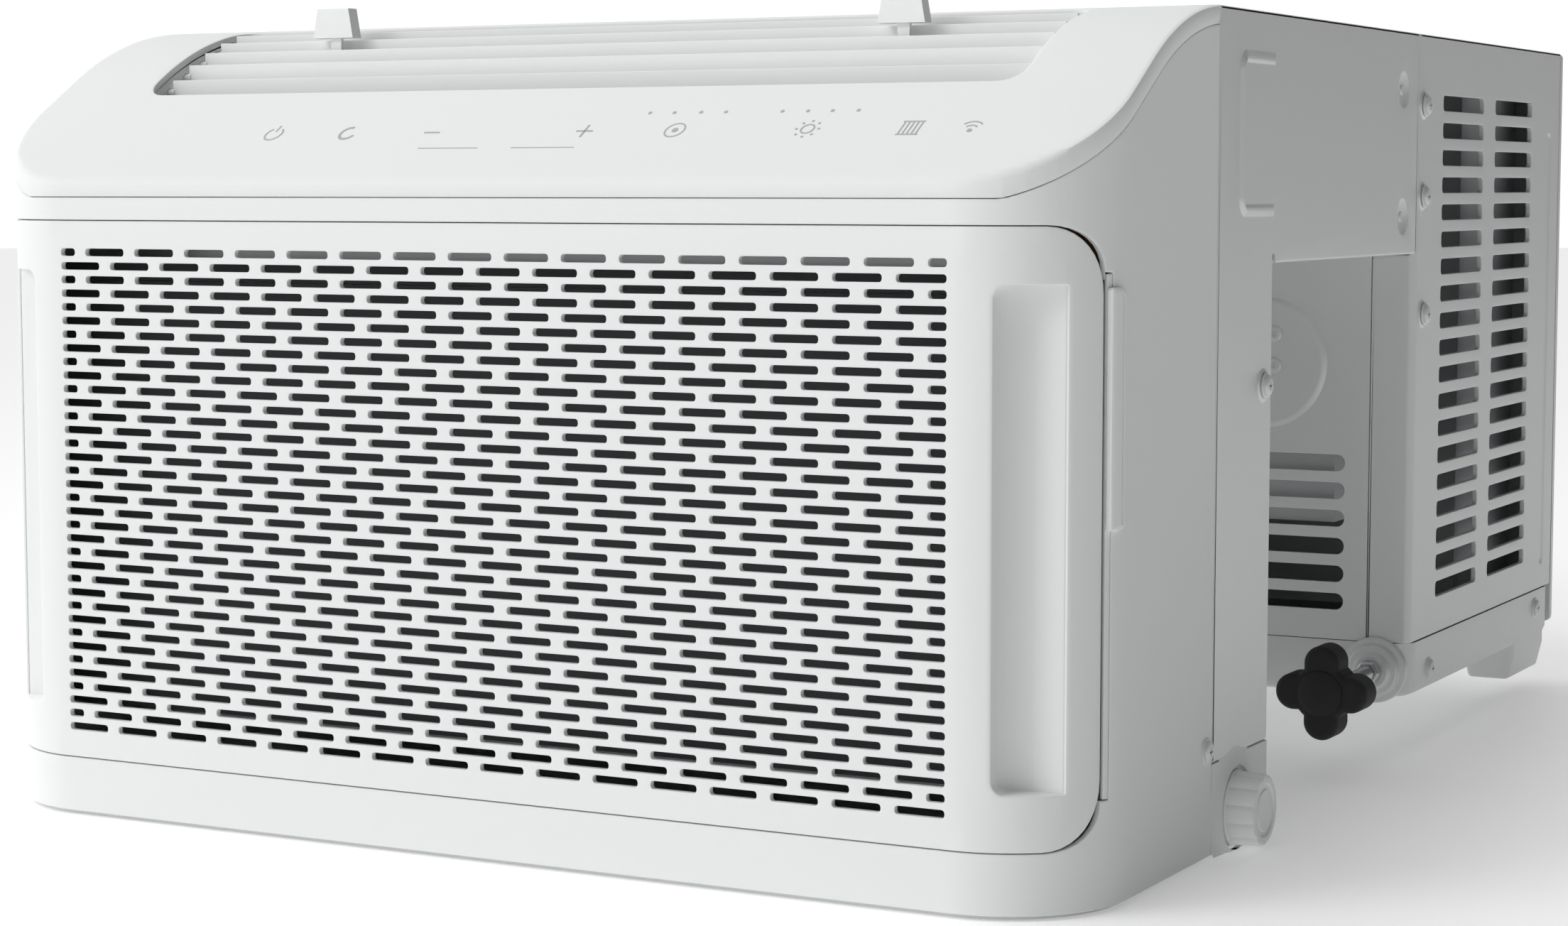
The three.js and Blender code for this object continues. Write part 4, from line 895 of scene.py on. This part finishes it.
def bracket_emboss(bm):
    """A raised stroke with two arms: a pressed frame that fades away towards one side."""
    start, end = 177.0, 232.0
    face = rounded_box(bm, (start, end, 275.5, 348.5), 9.0, 8)
    rise = [(0.7, 0.3), (1.6, 1.1), (0.9, 0.3), (0.8, 0.0)]
    steps_in(bm, face, rise + [(0.6, -0.3), (0.9, -1.1), (0.5, -0.3)])
    for vert in bm.verts:
        if start <= vert.co.x <= end and vert.co.y < -1e-5:
            vert.co.y *= 1 - min(max((vert.co.x - start - 5.0) / 36.0, 0.0), 1.0) ** 0.5


class AC_OT_bridge(PieceOperator, bpy.types.Operator):
    """Models the bridge's side sheets"""

    bl_idname = "air_conditioner.bridge"
    bl_label = "Bridge Sides"

    def execute(self, context):
        s = in_mm(context.scene.ac_steel)
        low, high = BRIDGE_BOX
        for side, label in SIDES:
            bm = bmesh.new()
            notch = SILL_UNDERSIDE + 4.0
            corners = [(low.y, low.z), (INDOOR_BACK, low.z), (INDOOR_BACK, notch), (INDOOR_BACK + 4.0, notch)]
            corners += [(INDOOR_BACK + 4.0, SILL_UNDERSIDE), (high.y, SILL_UNDERSIDE)]
            corners += [(high.y, high.z), (low.y, high.z)]
            face = rounded_face(bm, corners, [0.6, 2.0, 0, 0, 0, 0.6, 0.6, 0.6], 4)
            start_sheet(bm, face, s.rim, s.sheet + 0.6)
            bracket_emboss(bm)
            concave_dish(bm, 416, 337)
            concave_dish(bm, 417, 274)
            screw_dome(bm, *INDOOR_DOME, 8.0, INDOOR_DOME_RISE)
            close_sheet(bm, s.sheet + 0.6)
            put(bm, to_right_side if side > 0 else mirrored(to_right_side))
            make_piece(bm, f"bridge_skin_{label}", "painted_steel", f"bridge_side_{label}")
        return {"FINISHED"}


def fold_side(s):
    """Folds the outdoor side sheet round its front corner."""
    turn_start = SIDE_BOX[0].y + s.fold_radius
    arc = s.fold_radius * math.pi / 2

    def place(p):
        before = turn_start - p.x
        if before <= 0:
            return to_right_side(p)
        reach = s.fold_radius - p.y
        if before <= arc:
            angle = before / s.fold_radius
            x = HALF - s.fold_radius + reach * math.cos(angle)
            return Vector((x, turn_start - reach * math.sin(angle), p.z))
        return Vector((HALF - s.fold_radius - (before - arc), SIDE_BOX[0].y + p.y, p.z))

    return place, turn_start, arc


class AC_OT_outdoor_sides(PieceOperator, bpy.types.Operator):
    """Models the outdoor section's louvred side sheets"""

    bl_idname = "air_conditioner.outdoor_sides"
    bl_label = "Outdoor Sides"

    def execute(self, context):
        s = in_mm(context.scene.ac_steel)
        place, turn_start, arc = fold_side(s)
        low, high = SIDE_BOX
        edge = turn_start - arc - (s.flange - s.fold_radius)
        columns = ((low.y + 44.5, low.y + 121.0), (low.y + 143.6, low.y + 219.8))
        for side, label in SIDES:
            bm = bmesh.new()
            corners = [(edge, low.z), (high.y, low.z), (high.y, high.z), (turn_start - arc, high.z)]
            corners += [(turn_start - arc, SILL_UNDERSIDE - 0.3), (edge, SILL_UNDERSIDE - 0.3)]
            face = rounded_face(bm, corners, [0.6, 0.6, 0.6, 0.6, 0.6, 3.0], 4)
            start_sheet(bm, face, s.rim, s.louvre_wall)
            first = high.z - s.louvre_drop - s.louvre_height / 2
            hole = (s.louvre_corner, 0.5, s.louvre_wall)
            for ends in columns:
                punch_column(bm, ends, first, s.louvre_height, -s.louvre_pitch, s.louvres, *hole)
            for u, v in SIDE_DOMES:
                screw_dome(bm, u, v, 7.5, SIDE_DOME_RISE)
            groove = rounded_box(bm, (694.0, 704.0, 69.0, 320.0), 4.5, 5)
            steps_in(bm, groove, [(0.8, -0.25), (1.0, -0.35), (1.4, -0.1)])
            close_sheet(bm, s.louvre_wall)
            cut_across(bm, [turn_start - arc * i / 6 for i in range(7)])
            put(bm, place if side > 0 else mirrored(place))
            make_piece(bm, f"outdoor_skin_{label}", "painted_steel", f"outdoor_side_{label}")
        return {"FINISHED"}


class AC_OT_front_wall(PieceOperator, bpy.types.Operator):
    """Models the outdoor section's front wall"""

    bl_idname = "air_conditioner.front_wall"
    bl_label = "Outdoor Front Wall"

    def execute(self, context):
        s = in_mm(context.scene.ac_steel)
        low, high = WALL_BOX
        bm = bmesh.new()
        start_sheet(bm, rounded_box(bm, (low.x, high.x, low.z, high.z), 0.6, 3), 0.3, s.sheet)
        for side in (-1, 1):
            outer = side * (high.x - s.slot_inset)
            ends = (outer, outer - side * s.slot_length)
            first = s.slot_first - s.slot_height / 2
            hole = (s.slot_height * 0.48, 0.35, s.sheet, 6)
            punch_column(bm, ends, first, s.slot_height, s.slot_pitch, s.wall_slots, *hole)
            dish = round_face(bm, side * 200.0, 198.0, 34.0, 48)
            steps_in(bm, dish, [(0.8, 0.15), (1.2, 0.85), (1.2, 0.5), (1.0, 0.1), (9.0, 0.1)])
        close_sheet(bm, s.sheet)
        boss = [(4.2, 1.0), (3.9, 2.4), (3.2, 2.9), (1.6, 3.0), (1.4, 2.4), (0, 2.4)]
        places = [Matrix.Translation((side * 206.0, 0, z)) for side in (-1, 1) for z in (212.9, 196.7)]
        add_shape(bm, turned(boss, 20), *places)
        sink(bm, bm.verts, low.y)
        make_piece(bm, "outdoor_wall_skin", "painted_steel", "outdoor_front_wall")
        return {"FINISHED"}


def tray(bm, corner):
    face = rounded_box(bm, (-HALF, HALF, -SIDE_BOX[1].y, -SIDE_BOX[0].y), corner, 8)
    start_sheet(bm, face, 5.0, PAN_TOP - PAN_FLOOR)
    fill(bm, 0.0, -1)
    put(bm, lambda p: Vector((p.x, -p.z, PAN_FLOOR + p.y)))


def foot(bm):
    """A tapered foot, drawn looking down on it."""
    face = rounded_box(bm, (-15.0, 15.0, -36.0, 36.0), 7.0, 6)
    steps_in(bm, face, [(0.0, 9.0), (3.0, 13.0), (0.6, 1.0), (0.9, 0.5)])


FOOT_TURN = Matrix(((1, 0, 0, 0), (0, 0, -1, 0), (0, 1, 0, 0), (0, 0, 0, 1)))


class AC_OT_base(PieceOperator, bpy.types.Operator):
    """Models the outdoor base pan with its bosses and feet"""

    bl_idname = "air_conditioner.base"
    bl_label = "Outdoor Base"

    def execute(self, context):
        bm = bmesh.new()
        tray(bm, 12.0)
        make_piece(bm, "base_tray", "painted_steel", "outdoor_base_pan", wall=1.5)
        rings = [(17.0, -1.0), (17.0, 1.6), (16.4, 2.4), (14.2, 2.8), (13.6, 3.4), (13.2, 4.9)]
        rings += [(12.4, 5.6), (10.2, 5.9), (9.6, 6.4), (9.2, 7.4), (8.4, 8.0), (4.6, 8.0), (4.4, 6.0)]
        places = [Matrix.Translation((side * 262.0, BASE_BOX[0].y + 8.0, 41.0)) for side in (-1, 1)]
        piece_of(turned(rings, 40), places, "base_bosses", "painted_steel")
        spots = [(side * 264.5, SIDE_BOX[1].y - 44.0, PAN_FLOOR + 5.0) for side in (-1, 1)]
        places = [Matrix.Translation(spot) @ FOOT_TURN for spot in spots]
        piece_of(foot, places, "base_feet", "painted_steel")
        return {"FINISHED"}


class AC_OT_guard(PieceOperator, bpy.types.Operator):
    """Models the rear guard with its two columns of slots"""

    bl_idname = "air_conditioner.guard"
    bl_label = "Rear Guard"

    def execute(self, context):
        s = in_mm(context.scene.ac_steel)
        low, high = GUARD_BOX
        depth = high.y - low.y
        bm = bmesh.new()
        face = rounded_box(bm, (-HALF, HALF, low.z, high.z), 3.0, 5)
        start_sheet(bm, face, 2.0, depth)
        bottom, top = SIDE_BOX[0].z + 10, high.z - 26
        pitch = (top - bottom) / s.guard_rows
        for side in (-1, 1):
            ends = (side * s.guard_bar, side * (HALF - s.guard_border))
            punch_column(bm, ends, bottom, pitch - s.guard_bar, pitch, s.guard_rows, 3.0, 0.8, depth)
        close_sheet(bm, depth)
        put(bm, lambda p: Vector((-p.x, high.y - p.y, p.z)))
        make_piece(bm, "guard_panel", "painted_steel", "rear_guard")
        return {"FINISHED"}


# ---- Hardware ----
@sized
def pan_screw(bm, radius):
    """A pan-head screw with a cross recess."""
    rings = [(radius * 1.25, 0.0), (radius * 1.25, 0.5), (radius * 1.15, 0.7), (radius, 0.75)]
    rings += [(radius, 1.5), (radius * 0.93, 2.0), (radius * 0.72, 2.4), (radius * 0.5, 2.5)]
    turn(bm, rings, 24)
    arm, width = radius * 0.42, radius * 0.11
    corner, cross = [(arm, -width), (arm, width), (width, width)], []
    for _ in range(4):
        cross += corner
        corner = [(-v, u) for u, v in corner]
    face = rounded_face(bm, cross)
    sink(bm, face.verts, -2.5)
    steps_in(bm, face, [(0.0, -1.3)])
    fill(bm, -2.5, -1)


class AC_OT_screws(PieceOperator, bpy.types.Operator):
    """Models the cabinet's visible screws"""

    bl_idname = "air_conditioner.screws"
    bl_label = "Screws"

    def execute(self, context):
        s = in_mm(context.scene.ac_hardware)
        spots = [(*INDOOR_DOME, INDOOR_DOME_RISE)] + [(*dome, SIDE_DOME_RISE) for dome in SIDE_DOMES]
        spots += [(475.7, 38.4, 0.0), (687.6, 45.1, 0.0), (145.0, 47.0, 0.0)]
        places = [spot_on_side(y, z, out) for y, z, out in spots]
        places += [MIRROR @ place for place in places]
        piece_of(pan_screw(s.screw_radius), places, "cabinet_screws", "painted_steel")
        return {"FINISHED"}


def star_reach(s, turn_angle):
    """How far the star knob reaches: round lobes, or the valley between them."""
    quarter = math.pi / 2
    off = abs((turn_angle + quarter / 2) % quarter - quarter / 2)
    across = s.lobe_centre * math.sin(off)
    if across >= s.lobe_radius:
        return s.star_valley
    lobe = s.lobe_centre * math.cos(off) + math.sqrt(s.lobe_radius**2 - across**2)
    return max(lobe, s.star_valley)


@sized
def star_knob(bm, s, thickness):
    turns = [math.tau * i / 96 for i in range(96)]
    outline = [(star_reach(s, t) * math.cos(t), star_reach(s, t) * math.sin(t)) for t in turns]
    face = rounded_face(bm, outline)
    sink(bm, face.verts, thickness)
    steps_in(bm, face, [(0.0, thickness - 3.0), (0.5, 1.4), (0.8, 0.9), (1.0, 0.5), (1.2, 0.2)])
    dome = bmesh.new()
    turn(dome, [(11.5, -1.0), (11.2, 0.6), (10.2, 1.3), (8.0, 2.0), (4.5, 2.6), (0.0, 2.9)], 40)
    absorb(bm, dome)


def thread_profile(s, length_mm):
    """Crests and roots of a thread along the rod."""
    profile = [(0.0, 0.0), (s.rod_radius - s.thread_depth, 0.0)]
    along = s.thread_pitch / 2
    while along < length_mm - s.thread_pitch:
        profile += [(s.rod_radius, along), (s.rod_radius - s.thread_depth, along + s.thread_pitch / 2)]
        along += s.thread_pitch
    return profile + [(s.rod_radius - s.thread_depth, length_mm), (0.0, length_mm)]


@sized
def hex_nut(bm, radius, height, bore):
    face = rounded_face(bm, circle_points(radius, 6), [1.0] * 6, 3)
    steps_in(bm, face, [(0.0, height - 0.6), (0.7, 0.6), (radius * 0.85 - bore - 0.7, 0.0), (0.2, -1.0)])


class AC_OT_levelling(PieceOperator, bpy.types.Operator):
    """Models the levelling screws with their star knobs and nuts"""

    bl_idname = "air_conditioner.levelling"
    bl_label = "Levelling Screws"

    def execute(self, context):
        s = in_mm(context.scene.ac_hardware)
        z = (ROD_BOX[0].z + ROD_BOX[1].z) / 2
        thread = thread_profile(s, ROD_BOX[1].y - ROD_BOX[0].y)
        nut_radius, nut_height = (NUT_BOX[1].x - NUT_BOX[0].x) / 2, NUT_BOX[1].y - NUT_BOX[0].y
        knob = star_knob(s, STAR_BOX[1].y - STAR_BOX[0].y)
        nut = hex_nut(nut_radius, nut_height, s.rod_radius)
        shapes = (
            ("star_knob", "level_knob", "black_plastic", STAR_BOX[0].y + 2.9, knob),
            ("threaded_rod", "level_rod", "zinc_steel", ROD_BOX[1].y, turned(thread, 16)),
            ("hex_nut", "level_nut", "zinc_steel", NUT_BOX[1].y, nut),
        )
        for side, label in SIDES:
            x = side * (ROD_BOX[0].x + ROD_BOX[1].x) / 2
            for name, node, finish, y, shape in shapes:
                node = f"{node}_{label}"
                places = [Matrix.Translation((x, y, z))]
                piece_of(shape, places, f"{name}_{label}", finish, node, body_of(node))
        return {"FINISHED"}


@sized
def fluted_cap(bm, radius, length_mm):
    rings = [(radius - 1.5, 0.0), (radius, 0.5), (radius, 1.4), (radius - 0.5, 2.0)]
    rings += [(radius - 0.9, length_mm - 1.6), (radius - 1.5, length_mm - 0.5)]
    rings += [(radius - 2.6, length_mm), (radius - 5.0, length_mm), (radius - 5.6, length_mm - 0.9)]
    rings += [(radius - 7.4, length_mm - 0.9), (radius - 8.0, length_mm - 0.1), (0.0, length_mm)]
    turn(bm, rings, 96)
    for vert in bm.verts:
        r = math.hypot(vert.co.x, vert.co.z)
        if r > radius - 2.2 and vert.co.y < -1.6:
            cut = 0.9 * (1 - abs(math.cos(6 * math.atan2(vert.co.z, vert.co.x))) ** 0.35)
            vert.co.x *= 1 - cut / r
            vert.co.z *= 1 - cut / r


class AC_OT_drain(PieceOperator, bpy.types.Operator):
    """Models the drain cap and the soft ring round it"""

    bl_idname = "air_conditioner.drain"
    bl_label = "Drain Cap"

    def execute(self, context):
        low, high = CAP_BOX
        y, z = (low.y + high.y) / 2, (low.z + high.z) / 2
        radius = (high.y - low.y) / 2
        places = [spot_on_side(y, z, low.x - HALF)]
        shape = fluted_cap(radius, high.x - low.x)
        # The drain cap is moulding-white plastic. Its lighter vane white is painted light, standing in for
        # the light that falls on its side.
        piece_of(shape, places, "drain_cap_shell", "vane_plastic", "drain_cap", "drain_cap")
        ring = bmesh.new()
        rings = [(30.0, -0.4), (27.0, 0.0), (24.0, 0.5), (21.5, 1.3), (20.0, 1.8), (18.9, 1.9), (18.6, -0.4)]
        add_shape(ring, turned(rings, 64), spot_on_side(y, z))
        for vert in ring.verts:
            vert.co.z = max(vert.co.z, -1.8)
        make_piece(ring, "drain_surround", "white_plastic")
        return {"FINISHED"}


def filter_tab(bm):
    """The filter's pull tab, and the strip that closes its slot."""
    low, high = cabinet_box("air_filter_frame")
    tab_low, tab_high = high.z - 102.2, high.z - 5.3
    start, end = along_depth(low.y + 0.2), along_depth(high.y)
    box = (start, end, tab_low, tab_high)
    start_sheet(bm, rounded_box(bm, box, [1.6, 3.8, 3.8, 1.6], 6), 1.2, 2.8)
    groove = rounded_box(bm, (end - 3.8, end - 2.8, tab_low + 2.4, tab_high - 2.4), 0.4, 3)
    steps_in(bm, groove, [(0.25, -0.7)])
    close_sheet(bm, 2.8)
    sink(bm, bm.verts, -2.9)
    strip = bmesh.new()
    face = rounded_box(strip, (start, along_depth(low.y + 3.2), low.z, high.z), 0.4, 2)
    start_sheet(strip, face, 0.4, 3.0)
    close_sheet(strip, 3.0)
    sink(strip, strip.verts, 0.2)
    absorb(bm, strip)
    cut_across(bm, [start + (end - start) * i / 4 for i in range(1, 4)])
    put(bm, wrap_front)


class AC_OT_filter(PieceOperator, bpy.types.Operator):
    """Models the air filter's pull tab"""

    bl_idname = "air_conditioner.filter"
    bl_label = "Filter Tab"

    def execute(self, context):
        bm = bmesh.new()
        filter_tab(bm)
        make_piece(bm, "filter_tab", "white_plastic", body="filter")
        return {"FINISHED"}


REFINED = {
    "white_plastic": (("outlet_liner", 0.5), ("indoor_base_pan", 0.5), ("drain_spout", 0.4)),
    "vane_plastic": tuple((f"outlet_vane_{i}", 0.45) for i in range(1, 6))
    + tuple((f"deflector_slider_{side}", 1.0) for side in ("left", "right"))
    + tuple((f"deflector_blade_{side}_{i}", 0.3) for side in ("left", "right") for i in range(1, 5)),
    "painted_steel": tuple(
        (node, 0.3) for node in ("bridge_top", "sill_plate", "indoor_back_wall", "outdoor_top")
    ),
}
KEPT = {
    "filter_mesh": ("air_filter_mesh",),
    "coil_aluminium": ("evaporator_coil", "condenser_coil"),
    "grey_plastic": ("blower_scroll", "fan_shroud"),
    "dark_plastic": ("blower_wheel", "condenser_fan"),
    "black_paint": ("blower_motor", "fan_motor", "compressor", "accumulator"),
    "rubber": ("blower_bearing", "drain_seal"),
    "black_plastic": ("cord_grommet",),
    "foam": ("bridge_foam",),
    "copper_line": ("suction_line", "liquid_line"),
    "zinc_steel": ("fan_motor_bracket", "electrics_box"),
    "circuit_board": ("control_board",),
}


class AC_OT_inner(PieceOperator, bpy.types.Operator):
    """Rounds the remaining mouldings over, gives the inner pieces their finishes, and makes the filter frame
    near-black as painted shade
    """

    bl_idname = "air_conditioner.inner"
    bl_label = "Vanes and Inner Pieces"

    def execute(self, context):
        for finish, nodes in REFINED.items():
            for node, edge in nodes:
                refine(node, finish, edge)
        # The filter frame is grey plastic. It is made near-black here as painted shade, so that the grille
        # slots read dark throughout.
        refine("air_filter_frame", "dark_plastic", trim=HALF - 4.5)
        for finish, nodes in KEPT.items():
            for node in nodes:
                mesh = frame["nodes"][node].data
                mesh.materials.clear()
                mesh.materials.append(finish_material(finish))
        return {"FINISHED"}


# ---- Stage ----
CAMERA_PLACE = (0.7496, -1.2050, 0.2914)
CAMERA_TURN = (84.985967, 0.019029, 27.992723)


def soft_light(name, place, target, size, power):
    light = bpy.data.lights.new(name, "AREA")
    light.shape = "RECTANGLE"
    light.size, light.size_y = size
    light.energy = power
    obj = add_object(name, light)
    obj.location = place
    obj.rotation_euler = (Vector(target) - Vector(place)).to_track_quat("-Z", "Y").to_euler()


def surroundings(strength):
    """A pale room, bright behind and to the left, dimmer to the right."""
    world = bpy.data.worlds.new("Studio")
    bpy.context.scene.world = world
    world.use_nodes = True
    tree = world.node_tree
    background = node_of_type(tree, "BACKGROUND")
    set_inputs(background, {"Strength": strength})
    where = tree.nodes.new("ShaderNodeTexCoord")
    split = tree.nodes.new("ShaderNodeSeparateXYZ")
    tree.links.new(where.outputs["Generated"], split.inputs[0])
    shade = link_range(tree, split.outputs[0], 1.05, 0.07, -0.15, 0.35)
    tree.links.new(shade, background.inputs["Color"])


class AC_OT_stage(PieceOperator, bpy.types.Operator):
    """Sets up the floor, the lights and the camera"""

    bl_idname = "air_conditioner.stage"
    bl_label = "Stage"

    def execute(self, context):
        s = context.scene.ac_stage
        bm = bmesh.new()
        bmesh.ops.create_circle(bm, cap_ends=True, segments=96, radius=14.0)
        mesh = bpy.data.meshes.new("floor")
        bm.to_mesh(mesh)
        bm.free()
        floor = add_object("floor", mesh)
        pale = surface_material("floor_paper", (0.93, 0.93, 0.93), 0.6, 0.0, 1.0, 0.01, 0.01, 0.05)
        shader = node_of_type(pale.node_tree, "BSDF_PRINCIPLED")
        set_inputs(shader, {"Emission Color": (1, 1, 1, 1), "Emission Strength": 0.22})
        mesh.materials.append(pale)
        surroundings(s.sky)
        soft_light("key", (-2.0, -2.4, 2.3), (0, 0.1, 0.2), (1.6, 1.2), s.key_power)
        soft_light("top", (-0.3, -0.5, 2.5), (0, 0.0, 0.35), (1.4, 0.8), s.top_power)
        soft_light("fill", (2.6, -0.6, 1.8), (0, 0.3, 0.15), (1.4, 1.4), s.fill_power)
        camera = bpy.data.cameras.new("camera")
        camera.lens = s.lens
        camera.sensor_width = 36.0
        obj = add_object("camera", camera)
        obj.location = CAMERA_PLACE
        obj.rotation_euler = [math.radians(angle) for angle in CAMERA_TURN]
        context.scene.camera = obj
        context.scene.view_settings.view_transform = "Standard"
        return {"FINISHED"}


PIECES = (
    *(AC_OT_grille, AC_OT_casing, AC_OT_cover, AC_OT_marks),
    *(AC_OT_bridge, AC_OT_outdoor_sides, AC_OT_front_wall, AC_OT_base, AC_OT_guard),
    *(AC_OT_screws, AC_OT_levelling, AC_OT_drain, AC_OT_filter, AC_OT_inner, AC_OT_stage),
)
GROUPS = {
    "ac_front": ACFrontSettings,
    "ac_steel": ACSteelSettings,
    "ac_hardware": ACHardwareSettings,
    "ac_colours": ACColourSettings,
    "ac_stage": ACStageSettings,
}


class AC_PT_sidebar(bpy.types.Panel):
    """Lists the operators in the 3D view's sidebar"""

    bl_idname = "AC_PT_sidebar"
    bl_label = "Air Conditioner"
    bl_space_type = "VIEW_3D"
    bl_region_type = "UI"
    bl_category = "Air Conditioner"

    def draw(self, context):
        for piece in PIECES:
            self.layout.operator(piece.bl_idname)


def register():
    for group in GROUPS.values():
        bpy.utils.register_class(group)
    for piece in (*PIECES, AC_PT_sidebar):
        bpy.utils.register_class(piece)
    for name, group in GROUPS.items():
        setattr(bpy.types.Scene, name, PointerProperty(type=group))


def unregister():
    for name in GROUPS:
        delattr(bpy.types.Scene, name)
    for piece in (AC_PT_sidebar, *reversed(PIECES)):
        bpy.utils.unregister_class(piece)
    for group in reversed(list(GROUPS.values())):
        bpy.utils.unregister_class(group)


def main():
    register()
    for piece in PIECES:
        category, name = piece.bl_idname.split(".")
        getattr(getattr(bpy.ops, category), name)()


if __name__ == "__main__":
    main()
